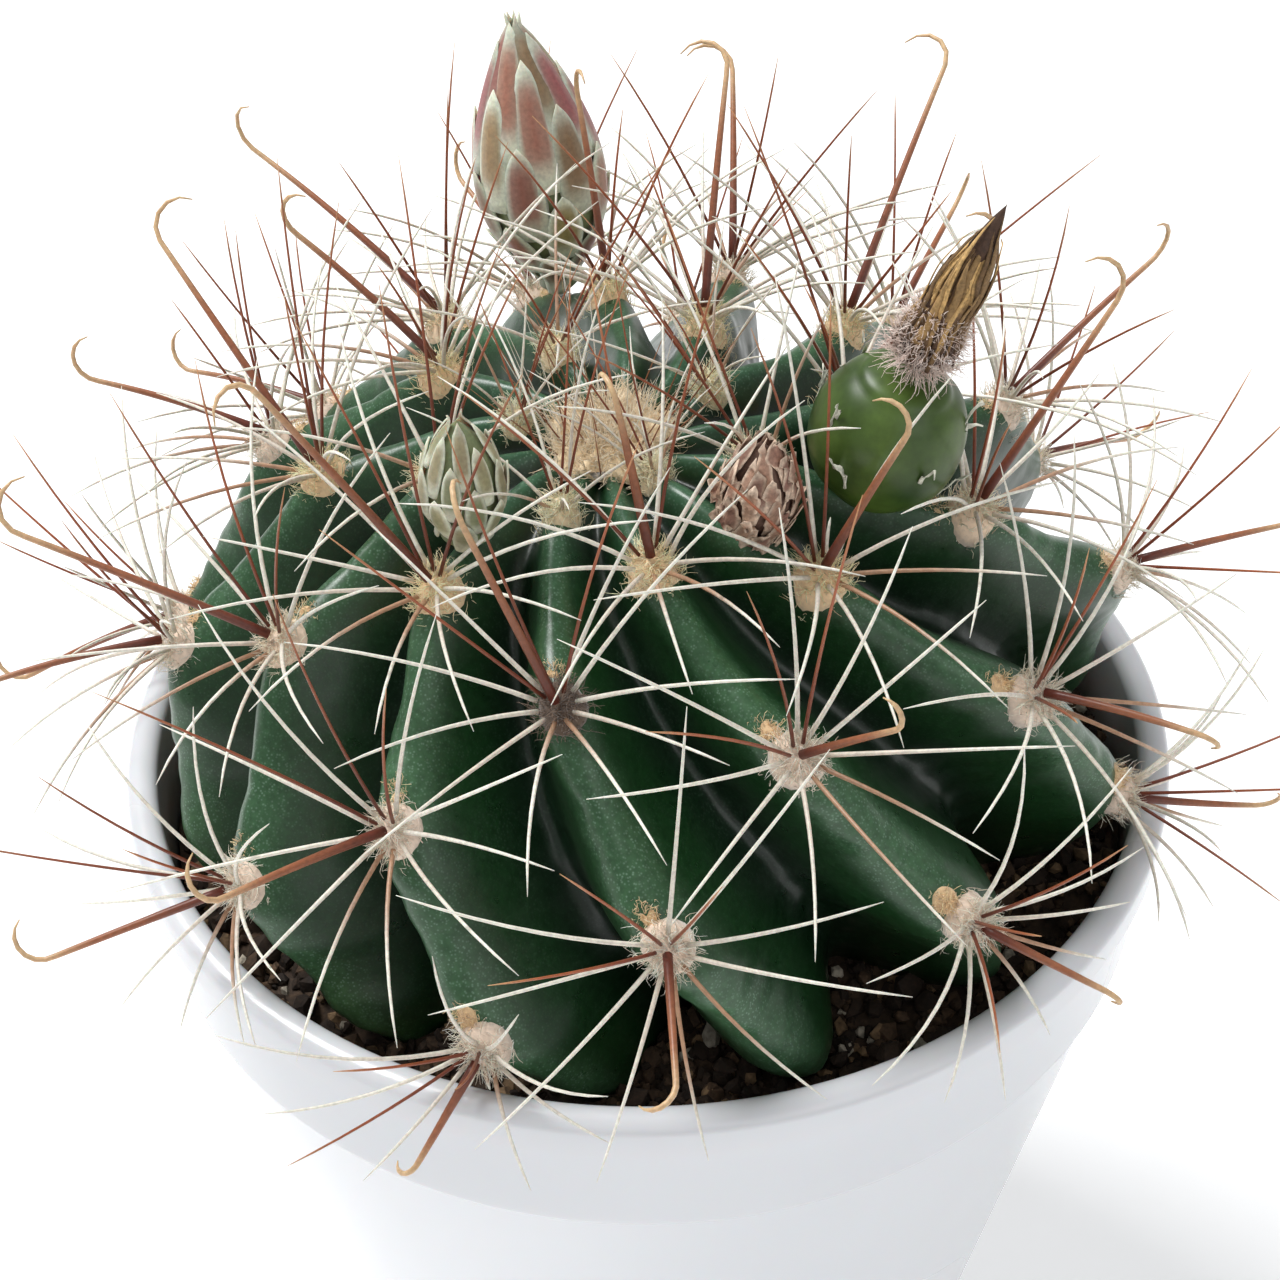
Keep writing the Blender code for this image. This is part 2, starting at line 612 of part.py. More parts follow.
def make_cluster(n, frame, spines, made_of):
    """Felt pad and its spines as one closed body: each spine grows from a triangle of the pad."""
    here, side, up, out = frame
    radius = pad_radius(n)
    flat = []
    for step in range(OUTLINE):
        angle = 2 * math.pi * (step + 0.5) / OUTLINE
        flat.append((radius * math.cos(angle), radius * math.sin(angle)))
    roots = []
    for spine in spines:
        turn = math.radians(spine["around_root"])
        centre = (spine["reach"] * math.cos(turn), spine["reach"] * math.sin(turn))
        corners = []
        for step in range(3):
            angle = turn + 2 * math.pi * step / 3
            corners.append(len(flat))
            flat.append((centre[0] + spine["width"] * math.cos(angle),
                         centre[1] + spine["width"] * math.sin(angle)))
        roots.append(tuple(corners))
    scaled = [Vector((u / MM, v / MM)) for u, v in flat]
    _, _, triangles, _, _, from_face = geometry.delaunay_2d_cdt(scaled, [], roots, 0, 1e-6)
    vertices = []
    for index, (u, v) in enumerate(flat):
        if index < OUTLINE:
            height = pad_underside(frame, u, v)
        else:
            height = pad_height(frame, u, v, radius)
        vertices.append(here + u * side + v * up + height * out)
    faces = [tuple(triangle) for triangle, came in zip(triangles, from_face) if not came]
    centre = len(vertices)
    vertices.append(here + pad_underside(frame, 0.0, 0.0) * out)
    for step in range(OUTLINE):
        faces.append((centre, (step + 1) % OUTLINE, step))
    for spine, corners in zip(spines, roots):
        add_spine(vertices, faces, spine, corners)
    return add_object("areole_%02d" % n, vertices, faces, made_of)


def add_spine(vertices, faces, spine, corners):
    """Three-sided tapering spine from a root triangle to a point."""
    stops = spine_stops(spine)
    points = spine_path(spine, stops)
    widths = spine_radius(spine, stops)
    root = np.array([vertices[corner] for corner in corners])
    offsets = root - root.mean(0)
    ring = list(corners)
    for index in range(1, len(stops) - 1):
        along = unit(points[index + 1] - points[index - 1])
        offsets = offsets - (offsets @ along)[:, None] * along
        offsets = unit(offsets) * widths[index]
        new = list(range(len(vertices), len(vertices) + 3))
        vertices.extend(points[index] + offsets)
        for step in range(3):
            after = (step + 1) % 3
            faces.append((ring[step], ring[after], new[after]))
            faces.append((ring[step], new[after], new[step]))
        ring = new
    tip = len(vertices)
    vertices.append(points[-1])
    for step in range(3):
        faces.append((ring[step], ring[(step + 1) % 3], tip))


# ---------------------------------------------------------------- buds and fruit

def above_areole(item):
    """Frame on the same rib, the item's set distance above its areole."""
    start = item["areole"]
    phase = areole_phase(start)
    origin = stem_point(start, phase)
    n = float(start)
    while n > 0.5 and np.linalg.norm(stem_point(n, phase) - origin) < item["set"]:
        n -= 0.05
    return stem_frame(n, phase)


def stand(item, tilt):
    """Base point and axis of a bud: between the stem's outward direction and straight up."""
    here, _, _, out = above_areole(item)
    axis = unit((1 - tilt) * out + tilt * np.array([0, 0, 1.0]) + np.array([item.get("lean", 0), 0, 0]))
    return here + out * (GAP + 0.15 * MM), axis


def bulb_profile(radius, length, shares):
    """Profile from (share of length, share of radius) pairs."""
    return [(length * along, radius * across) for along, across in shares]


FLOWER_BUD_SHARES = [(0, 0), (0.01, 0.2), (0.06, 0.3), (0.16, 0.6), (0.3, 0.92), (0.45, 1.0),
                     (0.6, 0.9), (0.75, 0.66), (0.88, 0.36), (0.96, 0.14), (1, 0)]
GREEN_BUD_SHARES = [(0, 0), (0.02, 0.35), (0.15, 0.7), (0.35, 1.0), (0.6, 0.92), (0.8, 0.6),
                    (0.93, 0.25), (1, 0)]
FRUIT_SHARES = [(0, 0), (0.03, 0.34), (0.12, 0.66), (0.28, 0.92), (0.5, 1.0), (0.72, 0.9),
                (0.88, 0.65), (0.97, 0.34), (1, 0)]
DRIED_SHARES = [(0, 0), (0.03, 0.5), (0.2, 0.95), (0.38, 0.8), (0.55, 0.85), (0.75, 0.6),
                (0.92, 0.25), (1, 0)]


def fruiting(item, tilt, shares):
    base, axis = stand(item, tilt)
    return base, axis, bulb_profile(item["radius"], item["length"], shares)


def blocks_of(base, axis, profile):
    """The same body as a chain of fat segments, for the spines to keep clear of."""
    heights = np.array([height for height, _ in profile])
    radii = np.array([radius for _, radius in profile])
    fine = np.linspace(heights[0], heights[-1], 12)
    return base + axis * fine[:, None], np.interp(fine, heights, radii) + 0.2 * MM


def main():
    for old in list(bpy.data.objects):
        bpy.data.objects.remove(old)
    pot_white = material("pot_white", (0.85, 0.86, 0.87), 0.35)
    soil_brown = material("soil_brown", (0.09, 0.06, 0.04), 0.95)
    stem_green = material("stem_green", (0.05, 0.14, 0.06), 0.4)
    felt_cream = material("felt_cream", (0.75, 0.58, 0.4), 0.95)
    spine_ivory = material("spine_ivory", (0.78, 0.72, 0.58), 0.5)
    bud_green = material("bud_green", (0.45, 0.5, 0.36), 0.6)
    dried_brown = material("dried_brown", (0.4, 0.28, 0.2), 0.9)
    fruit_green = material("fruit_green", (0.07, 0.2, 0.05), 0.35)

    make_pot(pot_white)
    make_soil(soil_brown)
    make_stem(stem_green)
    make_crown_wool(felt_cream)

    flower_bud = fruiting(FLOWER_BUD, 0.9, FLOWER_BUD_SHARES)
    green_bud = fruiting(GREEN_BUD, 0.3, GREEN_BUD_SHARES)
    dried_bud = fruiting(DRIED_BUD, 0.3, GREEN_BUD_SHARES)
    fruit = fruiting(FRUIT, 0.2, FRUIT_SHARES)
    fruit_base, fruit_axis, fruit_profile = fruit
    flower_base = fruit_base + fruit_axis * (FRUIT["length"] + GAP)
    flower_axis = unit(fruit_axis + np.array([0.35, 0, 0.5]))
    dried_profile = bulb_profile(DRIED_FLOWER_RADIUS, DRIED_FLOWER_LENGTH, DRIED_SHARES)
    dried_flower = (flower_base, flower_axis, dried_profile)
    named = {"flower_bud": (flower_bud, bud_green), "green_bud": (green_bud, bud_green),
             "dried_bud": (dried_bud, dried_brown), "fruit": (fruit, fruit_green),
             "dried_flower": (dried_flower, dried_brown)}
    for name, ((base, axis, profile), made_of) in named.items():
        turned_body(name, profile, base, axis, 14, made_of)

    numbers = list(range(YOUNGEST, OLDEST + 1))
    blocks = [blocks_of(*body) for body, _ in named.values()]
    frames, settled = settle_spines(numbers, blocks)
    for n in numbers:
        make_cluster(n, frames[n], settled[n], spine_ivory)


main()
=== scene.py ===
import json
import math

import bpy
import numpy as np
from mathutils import Matrix

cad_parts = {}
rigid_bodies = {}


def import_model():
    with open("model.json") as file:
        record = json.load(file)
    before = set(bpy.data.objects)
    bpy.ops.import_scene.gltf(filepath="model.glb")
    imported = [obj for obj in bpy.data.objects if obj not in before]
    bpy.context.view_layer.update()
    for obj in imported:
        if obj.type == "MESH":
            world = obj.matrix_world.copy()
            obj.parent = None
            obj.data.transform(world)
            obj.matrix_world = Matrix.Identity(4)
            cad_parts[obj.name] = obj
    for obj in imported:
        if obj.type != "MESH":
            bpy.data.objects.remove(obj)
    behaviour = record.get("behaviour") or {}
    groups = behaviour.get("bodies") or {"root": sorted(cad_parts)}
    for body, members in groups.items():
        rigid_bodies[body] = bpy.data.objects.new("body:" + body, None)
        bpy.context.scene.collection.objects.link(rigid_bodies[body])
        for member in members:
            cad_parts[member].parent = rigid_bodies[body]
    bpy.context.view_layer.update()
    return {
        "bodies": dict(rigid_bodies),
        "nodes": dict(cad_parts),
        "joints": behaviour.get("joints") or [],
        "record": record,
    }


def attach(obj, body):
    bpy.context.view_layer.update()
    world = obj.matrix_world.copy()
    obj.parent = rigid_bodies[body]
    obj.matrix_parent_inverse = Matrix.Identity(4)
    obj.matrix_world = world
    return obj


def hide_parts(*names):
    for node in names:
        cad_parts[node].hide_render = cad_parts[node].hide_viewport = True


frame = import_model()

MM = 0.001
GAP = 0.3 * MM                      # clearance between pieces that touch

# ---------------------------------------------------------------- pot
# A thin tapered cup of white polypropylene, injection moulded in one piece, with a straight
# band below a rolled lip.  It stands on its flat base and carries everything else.

POT_HEIGHT = 80 * MM
POT_RIM_RADIUS = 45 * MM
POT_BASE_RADIUS = 30.5 * MM
POT_WALL = 1.3 * MM
POT_FLOOR = 2.2 * MM
LIP_HEIGHT = 3.4 * MM
LIP_OVERHANG = 1.4 * MM
COLLAR_HEIGHT = 10.5 * MM
COLLAR_STEP = 0.7 * MM
POT_EDGE = 0.5 * MM                 # radius of the pot's small rounded edges
POT_SIDES = 160
POT_WHITE = (0.75, 0.765, 0.795)
SOIL_STAIN = (0.33, 0.26, 0.2)
SOIL_BELOW_RIM = 8 * MM
SOIL_TOP = POT_HEIGHT - SOIL_BELOW_RIM
MOUTH_RADIUS = POT_RIM_RADIUS - LIP_OVERHANG - POT_WALL
COLLAR_RADIUS = POT_RIM_RADIUS - LIP_OVERHANG
COLLAR_FOOT = POT_HEIGHT - LIP_HEIGHT - COLLAR_HEIGHT
SIDE_TOP_RADIUS = COLLAR_RADIUS - COLLAR_STEP


def smooth(x):
    """Ease from 0 to 1: 3x^2 - 2x^3, x clipped to 0..1."""
    x = np.clip(x, 0, 1)
    return x * x * (3 - 2 * x)


def unit(vector):
    """The vector divided by its length."""
    return vector / np.linalg.norm(vector, axis=-1, keepdims=True)


def ripple(points, size, seed, waves=9):
    """Smooth noise of about -1..1: a sum of sine waves of about this size in seeded directions."""
    rng = np.random.default_rng(seed)
    heading = unit(rng.normal(size=(waves, 3))) * rng.uniform(0.6, 1.6, (waves, 1))
    shift = rng.uniform(0, 2 * math.pi, waves)
    return np.sin(points @ heading.T * (2 * math.pi / size) + shift).sum(-1) / math.sqrt(waves)


def mix(first, second, share):
    """Colour or length between two: first + (second - first) * share."""
    share = np.asarray(share, float)[..., None]
    return np.asarray(first, float) * (1 - share) + np.asarray(second, float) * share


def tube_faces(count, rings, sides):
    """Faces of count tubes side by side: quads between successive rings, and a cap at each end."""
    tube, ring, side = np.meshgrid(np.arange(count), np.arange(rings - 1), np.arange(sides),
                                   indexing="ij")
    after = (side + 1) % sides
    low = (tube * rings + ring) * sides
    quads = np.stack([low + side, low + after, low + sides + after, low + sides + side], -1)
    first = np.arange(count)[:, None] * rings * sides
    last = first + (rings - 1) * sides
    ends = np.concatenate([first + np.arange(sides)[::-1], last + np.arange(sides)])
    return [quads.reshape(-1, 4), ends]


def merge(*parts):
    """Several (points, face arrays, tints) as one, their faces counted on."""
    start = 0
    points, faces, tints = [], [], []
    for part_points, part_faces, part_tints in parts:
        points.append(part_points.reshape(-1, 3))
        faces += [face + start for face in part_faces]
        tints.append(np.broadcast_to(part_tints, part_points.shape).reshape(-1, 3))
        start += len(points[-1])
    return np.concatenate(points), faces, np.concatenate(tints)


def add_piece(name, part, finishes, nodes, second_from=None, sharp=None):
    """Mesh object from (points, face arrays, tints), riding on the root in place of its CAD nodes.

    Faces from the array number second_from onward take the second finish.
    """
    points, faces, tints = part
    mesh = bpy.data.meshes.new(name)
    corners = np.concatenate([face.ravel() for face in faces]).astype(np.int32)
    sizes = np.concatenate([np.full(len(face), face.shape[1]) for face in faces])
    mesh.vertices.add(len(points))
    mesh.vertices.foreach_set("co", points.astype(np.float32).ravel())
    mesh.loops.add(len(corners))
    mesh.loops.foreach_set("vertex_index", corners)
    mesh.polygons.add(len(sizes))
    mesh.polygons.foreach_set("loop_start", (np.cumsum(sizes) - sizes).astype(np.int32))
    if second_from is not None:
        which = np.concatenate([np.full(len(face), int(index >= second_from))
                                for index, face in enumerate(faces)])
        mesh.polygons.foreach_set("material_index", which.astype(np.int32))
    tint = mesh.attributes.new("tint", "FLOAT_COLOR", "POINT")
    tint.data.foreach_set("color", np.c_[tints, np.ones(len(tints))].astype(np.float32).ravel())
    mesh.update(calc_edges=True)
    mesh.shade_smooth()
    if sharp is not None:
        mesh.set_sharp_from_angle(angle=math.radians(sharp))
    for finish in finishes:
        mesh.materials.append(finish)
    piece = bpy.data.objects.new(name, mesh)
    bpy.context.scene.collection.objects.link(piece)
    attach(piece, "root")
    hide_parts(*nodes)


def node(tree, kind, inputs=None, **settings):
    """New shader node; each input is a number, a colour or another node's output."""
    made = tree.nodes.new(kind)
    for key, value in settings.items():
        setattr(made, key, value)
    for key, value in (inputs or {}).items():
        if isinstance(value, bpy.types.NodeSocket):
            tree.links.new(value, made.inputs[key])
        else:
            made.inputs[key].default_value = value
    return made


def noise(tree, size, detail=3.0):
    """Noise on object coordinates, its features about this size in metres."""
    place = node(tree, "ShaderNodeTexCoord").outputs["Object"]
    return node(tree, "ShaderNodeTexNoise",
                {"Vector": place, "Scale": 1 / size, "Detail": detail}).outputs["Fac"]


def spread(tree, value, low, high, to_low, to_high):
    """Map a value from low..high to to_low..to_high, held at the ends."""
    return node(tree, "ShaderNodeMapRange", {"Value": value, "From Min": low, "From Max": high,
                                             "To Min": to_low, "To Max": to_high}).outputs[0]


def blend(tree, share, first, second, kind="MIX"):
    """Colour between two; each is a colour or another node's output."""
    made = node(tree, "ShaderNodeMix", {0: share, 6: first, 7: second}, data_type="RGBA",
                blend_type=kind)
    return made.outputs[2]


def tinted_finish(name, roughness, grain, grain_depth, rough_range, shade, bump, **sockets):
    """Material whose colour is the mesh's tint times noise, from shade's low to its high.

    The grain's size and depth are in metres; its bump and roughness follow the same noise.
    """
    made = bpy.data.materials.new(name)
    made.use_nodes = True
    tree = made.node_tree
    shader = tree.nodes["Principled BSDF"]
    tint = node(tree, "ShaderNodeAttribute", attribute_name="tint").outputs["Color"]
    fine = noise(tree, grain, 4.0)
    level = spread(tree, fine, 0.3, 0.7, *shade)
    grey = node(tree, "ShaderNodeCombineColor", {0: level, 1: level, 2: level}).outputs[0]
    colour = blend(tree, 1.0, tint, grey, "MULTIPLY")
    tree.links.new(colour, shader.inputs["Base Color"])
    rough = spread(tree, noise(tree, grain * 4), 0.3, 0.7, roughness - rough_range,
                   roughness + rough_range)
    tree.links.new(rough, shader.inputs["Roughness"])
    raised = node(tree, "ShaderNodeBump",
                  {"Strength": bump, "Distance": grain_depth, "Height": fine})
    tree.links.new(raised.outputs[0], shader.inputs["Normal"])
    for key, value in sockets.items():
        shader.inputs[key.replace("_", " ")].default_value = value
    return made


def side_radius(z):
    """Outer radius of the tapered side at height z."""
    return POT_BASE_RADIUS + (SIDE_TOP_RADIUS - POT_BASE_RADIUS) * z / COLLAR_FOOT


def wall_inner(z):
    """Inner radius: one wall inside the tapered side, then straight to the mouth."""
    low = side_radius(COLLAR_FOOT) - POT_WALL
    straight = low + (MOUTH_RADIUS - low) * (z - COLLAR_FOOT) / (POT_HEIGHT - COLLAR_FOOT)
    return np.where(z <= COLLAR_FOOT, side_radius(z) - POT_WALL, straight)


def pot_outline():
    """Height and radius along the pot's section: up the side, over the lip, down to the floor."""
    turn = np.linspace(0, math.pi / 2, 6)
    foot = [POT_EDGE * (1 - np.cos(turn)), side_radius(0) - POT_EDGE * (1 - np.sin(turn))]
    side = np.linspace(2 * POT_EDGE, COLLAR_FOOT - POT_EDGE, 26)
    step = np.linspace(0, 1, 7)
    lip_foot = POT_HEIGHT - LIP_HEIGHT
    band = np.linspace(COLLAR_FOOT + 2 * POT_EDGE, lip_foot - POT_EDGE, 6)
    curl = (POT_RIM_RADIUS - MOUTH_RADIUS) / 2
    over = np.linspace(0, math.pi, 19)
    inner = np.concatenate([np.linspace(POT_HEIGHT - 2 * MM, COLLAR_FOOT, 12),
                            np.linspace(COLLAR_FOOT - 3 * MM, POT_FLOOR + MM, 12)])
    heights = [foot[0], side, COLLAR_FOOT + POT_EDGE * (step * 2 - 1), band,
               lip_foot + POT_EDGE * (step - 0.8), [lip_foot + 1.5 * POT_EDGE],
               POT_HEIGHT - curl * 0.8 * (1 - np.sin(over)), inner,
               [POT_FLOOR + 0.2 * MM, POT_FLOOR]]
    radii = [foot[1], side_radius(side), mix(side_radius(COLLAR_FOOT), COLLAR_RADIUS, smooth(step)),
             band * 0 + COLLAR_RADIUS, mix(COLLAR_RADIUS, POT_RIM_RADIUS, smooth(step)),
             [POT_RIM_RADIUS], POT_RIM_RADIUS - curl * (1 - np.cos(over)), wall_inner(inner),
             [wall_inner(POT_FLOOR) - 0.3 * MM, wall_inner(POT_FLOOR) - MM]]
    return (np.concatenate([np.ravel(part) for part in heights]),
            np.concatenate([np.ravel(part) for part in radii]))


def lathe(heights, radii, angles):
    """Grid of points: each height's circle of its radius about +Z."""
    around = np.stack([np.cos(angles), np.sin(angles)], -1)
    flat = radii[:, None, None] * around
    return np.concatenate([flat, np.broadcast_to(heights[:, None, None], flat[..., :1].shape)], -1)


pot_angles = np.arange(POT_SIDES) * 2 * math.pi / POT_SIDES
pot_points = lathe(*pot_outline(), pot_angles)
pot_flat = np.hypot(pot_points[..., 0], pot_points[..., 1])
inside = pot_flat < wall_inner(pot_points[..., 2]) + 0.1 * MM
inside &= pot_points[..., 2] < POT_HEIGHT - MM
splashed = smooth((SOIL_TOP + 5 * MM + 2 * MM * ripple(pot_points, 9 * MM, 3) - pot_points[..., 2])
                  / (4 * MM))
pot_tint = mix(POT_WHITE, SOIL_STAIN, 0.6 * inside * splashed)
pot_plastic = tinted_finish("pot_plastic", 0.27, 30 * MM, 0.02 * MM, rough_range=0.03,
                            shade=(0.97, 1.0), bump=0.02, Coat_Weight=0.25, Coat_Roughness=0.12,
                            Subsurface_Weight=0.12, Subsurface_Scale=0.002)
add_piece("pot_cup", (pot_points.reshape(-1, 3), tube_faces(1, *pot_points.shape[:2]),
                      pot_tint.reshape(-1, 3)), [pot_plastic], ["pot"], sharp=50)

# ---------------------------------------------------------------- stem
# The living body: a squat globe of thirteen ribs that wind about it, with waxy skin, a chin
# under each areole and a dip at the apex.  Its lower end is rooted in the soil.

STEM_RIM_GAP = 0.9 * MM
STEM_RADIUS = MOUTH_RADIUS - STEM_RIM_GAP
STEM_HALF_HEIGHT = 27.5 * MM
STEM_ABOVE_RIM = 5.7 * MM
STEM_BURIED = 6 * MM
STEM_CENTRE = POT_HEIGHT + STEM_ABOVE_RIM
STEM_TO_SOIL = STEM_CENTRE - SOIL_TOP
LEAN_RIGHT = math.radians(-5.2)
LEAN_FRONT = math.radians(3.9)
LEAN_FADE = 18 * MM                 # height over which the lean comes in
CROWN_DIP = 3.5 * MM
FURROW_DEPTH = 11 * MM
CHIN_HEIGHT = 1.4 * MM
CREST_POWER = 1.1
CREST_SWELL = 0.15
RIBS = 13
GOLDEN = 180 * (3 - math.sqrt(5))
TWIST = 1800 - RIBS * GOLDEN
START = 183.1
POLAR_LINEAR = 1.255
POLAR_SQUARE = 0.0185
STEM_COLUMNS = 24 * RIBS
STEM_ROWS = 290
# Painted shade: this green darkens the bottoms of the furrows, where the ribs shade each other.
FURROW_SHADE_GREEN = (0.003, 0.014, 0.005)
FLANK_GREEN = (0.007, 0.037, 0.009)
# Partly painted sheen: the crests' pale bluish skin colour is lightened further to stand for their
# sheen.
CREST_GREEN_AND_SHEEN = (0.048, 0.126, 0.055)
YOUNG_GREEN = (0.04, 0.125, 0.07)
SUNNED_GREEN = (0.11, 0.19, 0.045)
DOT_GREEN = (0.24, 0.38, 0.28, 1)
DOT_SPACING = 0.26 * MM


def polar_of(n):
    """Angle from the apex, in radians, of areole number n (a real number between areoles)."""
    return np.radians(POLAR_LINEAR * n + POLAR_SQUARE * n * n)


def number_of(polar):
    """Inverse of polar_of."""
    root = np.sqrt(POLAR_LINEAR ** 2 + 4 * POLAR_SQUARE * np.degrees(polar))
    return (root - POLAR_LINEAR) / (2 * POLAR_SQUARE)


def rib_phase(azimuth, n):
    """Ribs counted round the stem: whole numbers on crests, halves in furrows."""
    return (np.degrees(azimuth) - START - n * TWIST / RIBS) * RIBS / 360


def rib_azimuth(phase, n):
    """Inverse of rib_phase."""
    return np.radians(START + n * TWIST / RIBS + phase * 360 / RIBS)


def furrow_share(phase):
    """0 on a rib's crest, 1 in the furrows: the square of sin(pi * phase)."""
    return np.sin(math.pi * (phase - np.round(phase))) ** 2


def stem_scale(n, phase):
    """Share of the plain globe's radius: less in the furrows, between chins and in the dip."""
    polar = polar_of(n)
    furrow = furrow_share(phase)
    depth = FURROW_DEPTH / STEM_RADIUS * smooth(polar / 1.1 + 0.15)
    chin = CHIN_HEIGHT / STEM_RADIUS * smooth(polar / 0.5) * smooth((2.0 - polar) / 0.3)
    beat = np.cos(2 * math.pi * (n - 5 * np.round(phase) - 0.6) / RIBS)
    dip = CROWN_DIP / STEM_HALF_HEIGHT * np.exp(-(polar / 0.2) ** 2)
    groove = furrow ** (CREST_POWER + CREST_SWELL * beat)
    return 1 - depth * groove + chin * (beat - 1) * 0.5 * (1 - furrow) - dip


def lean(point, sign):
    """Tip the upper stem over; the lean fades out to nothing at the soil line."""
    share = sign * smooth((point[..., 2] + STEM_TO_SOIL) / LEAN_FADE)
    x, y, z = point[..., 0], point[..., 1], point[..., 2]
    return np.stack([x + share * LEAN_RIGHT * z, y - share * LEAN_FRONT * z,
                     z + share * (LEAN_FRONT * y - LEAN_RIGHT * x)], -1)


def stem_point(n, phase, grow=0.0):
    """Point of the stem's surface at areole number n and rib phase."""
    n, phase = np.broadcast_arrays(np.asarray(n, float), np.asarray(phase, float))
    polar = polar_of(n)
    azimuth = rib_azimuth(phase, n)
    scale = stem_scale(n, phase)
    flat = STEM_RADIUS * np.sin(polar) * scale + grow
    height = STEM_HALF_HEIGHT * np.cos(polar) * np.where(polar < math.pi / 2, scale, 1)
    local = np.stack([flat * np.cos(azimuth), flat * np.sin(azimuth), height], -1)
    return lean(local, 1) + np.array([0, 0, STEM_CENTRE])


def stem_distance(point):
    """Rough distance of points outside the stem's surface, negative inside."""
    local = np.asarray(point, float) - np.array([0, 0, STEM_CENTRE])
    upright = lean(local, -1)
    flat = np.hypot(upright[..., 0], upright[..., 1])
    azimuth = np.arctan2(upright[..., 1], upright[..., 0])
    high = upright[..., 2] > 0
    round_polar = np.arctan2(flat / STEM_RADIUS, upright[..., 2] / STEM_HALF_HEIGHT)
    low_polar = np.arccos(np.clip(upright[..., 2] / STEM_HALF_HEIGHT, -0.95, 0))
    polar = np.where(high, round_polar, low_polar)
    n = number_of(polar)
    scale = stem_scale(n, rib_phase(azimuth, n))
    globe = np.hypot(flat / STEM_RADIUS, upright[..., 2] / STEM_HALF_HEIGHT)
    here = np.where(high, globe, flat / (STEM_RADIUS * np.sin(low_polar)))
    size = np.where(high, STEM_HALF_HEIGHT + (STEM_RADIUS - STEM_HALF_HEIGHT) * np.sin(polar),
                    STEM_RADIUS)
    return (here - scale) * size


def stem_tint(points, n, phase):
    """Furrows darkened by painted shade, deep green flanks and pale bluish crests that are partly
    the skin's colour and partly painted sheen; fresher near the crown.
    """
    crest = 1 - furrow_share(phase)
    patch = 0.5 + 0.5 * ripple(points, 11 * MM, 5)
    # Painted shade: the furrows darken from the flank green down to the furrow shade green.
    tint = mix(FURROW_SHADE_GREEN, FLANK_GREEN, smooth(crest / 0.5))
    # Painted sheen, partly real colour: the rib crests lighten to a pale bluish green, varied in
    # patches.
    tint = mix(tint, CREST_GREEN_AND_SHEEN, smooth((crest - 0.66) / 0.32) * (0.55 + 0.4 * patch))
    tint = mix(tint, YOUNG_GREEN, 0.55 * smooth((20 - n) / 14) * smooth((crest - 0.3) / 0.5))
    low_left = smooth((STEM_CENTRE - points[..., 2]) / (14 * MM))
    low_left = low_left * smooth(-points[..., 0] / (30 * MM))
    return mix(tint, SUNNED_GREEN, 0.4 * low_left * smooth((crest - 0.5) / 0.4) * patch)


bottom_polar = math.acos(-(STEM_TO_SOIL + STEM_BURIED) / STEM_HALF_HEIGHT)
soil_polar = math.acos(-STEM_TO_SOIL / STEM_HALF_HEIGHT)
stem_polar = np.linspace(bottom_polar, 0.01, STEM_ROWS)[:, None]
stem_number = number_of(stem_polar)
stem_phase = np.arange(STEM_COLUMNS)[None] * RIBS / STEM_COLUMNS
stem_points = stem_point(stem_number, stem_phase)
stem_tints = stem_tint(stem_points, stem_number, stem_phase)
stem_points = stem_point(stem_number, stem_phase, 0.1 * MM * ripple(stem_points, 3.2 * MM, 6)
                         * smooth(stem_polar / 0.3))

# Fine pale dots stand on the crests, told from the darker flanks by their green.
stem_skin = tinted_finish("stem_skin", 0.34, 0.5 * MM, 0.04 * MM, rough_range=0.07,
                          shade=(0.78, 1.22), bump=0.35, Specular_IOR_Level=0.5)
tree = stem_skin.node_tree
shader = tree.nodes["Principled BSDF"]
cells = node(tree, "ShaderNodeTexVoronoi",
             {"Vector": node(tree, "ShaderNodeTexCoord").outputs["Object"],
              "Scale": 1 / DOT_SPACING})
dots = spread(tree, cells.outputs["Distance"], 0.12, 0.42, 1.0, 0.0)
some = spread(tree, noise(tree, 3 * MM), 0.35, 0.65, 0.3, 0.9)
skin_colour = shader.inputs["Base Color"].links[0].from_socket
green = node(tree, "ShaderNodeSeparateColor", {0: skin_colour}).outputs["Green"]
on_crest = spread(tree, green, 0.04, 0.11, 0.08, 0.62)
dotted = node(tree, "ShaderNodeMath", {0: dots, 1: some}, operation="MULTIPLY").outputs[0]
dotted = node(tree, "ShaderNodeMath", {0: dotted, 1: on_crest}, operation="MULTIPLY").outputs[0]
tree.links.new(blend(tree, dotted, skin_colour, DOT_GREEN), shader.inputs["Base Color"])
add_piece("stem_body", (stem_points.reshape(-1, 3), tube_faces(1, STEM_ROWS, STEM_COLUMNS),
                        stem_tints.reshape(-1, 3)), [stem_skin], ["stem"])

# ---------------------------------------------------------------- soil
# Dark gritty potting mix that fills the cup to 8 mm under the rim.  Loose crumbs of peat, bark
# and a little pale grit lie on it, right up to the stem and into its furrows.

GRAINS = 3400
SOIL_CLEAR = 0.4 * MM
SOIL_ROWS = 18


def soil_level(points):
    """Height of the soil's top: the set level with humps of about a millimetre."""
    return SOIL_TOP + 0.6 * MM * ripple(points, 14 * MM, 8) + 0.25 * MM * ripple(points, 4 * MM, 9)


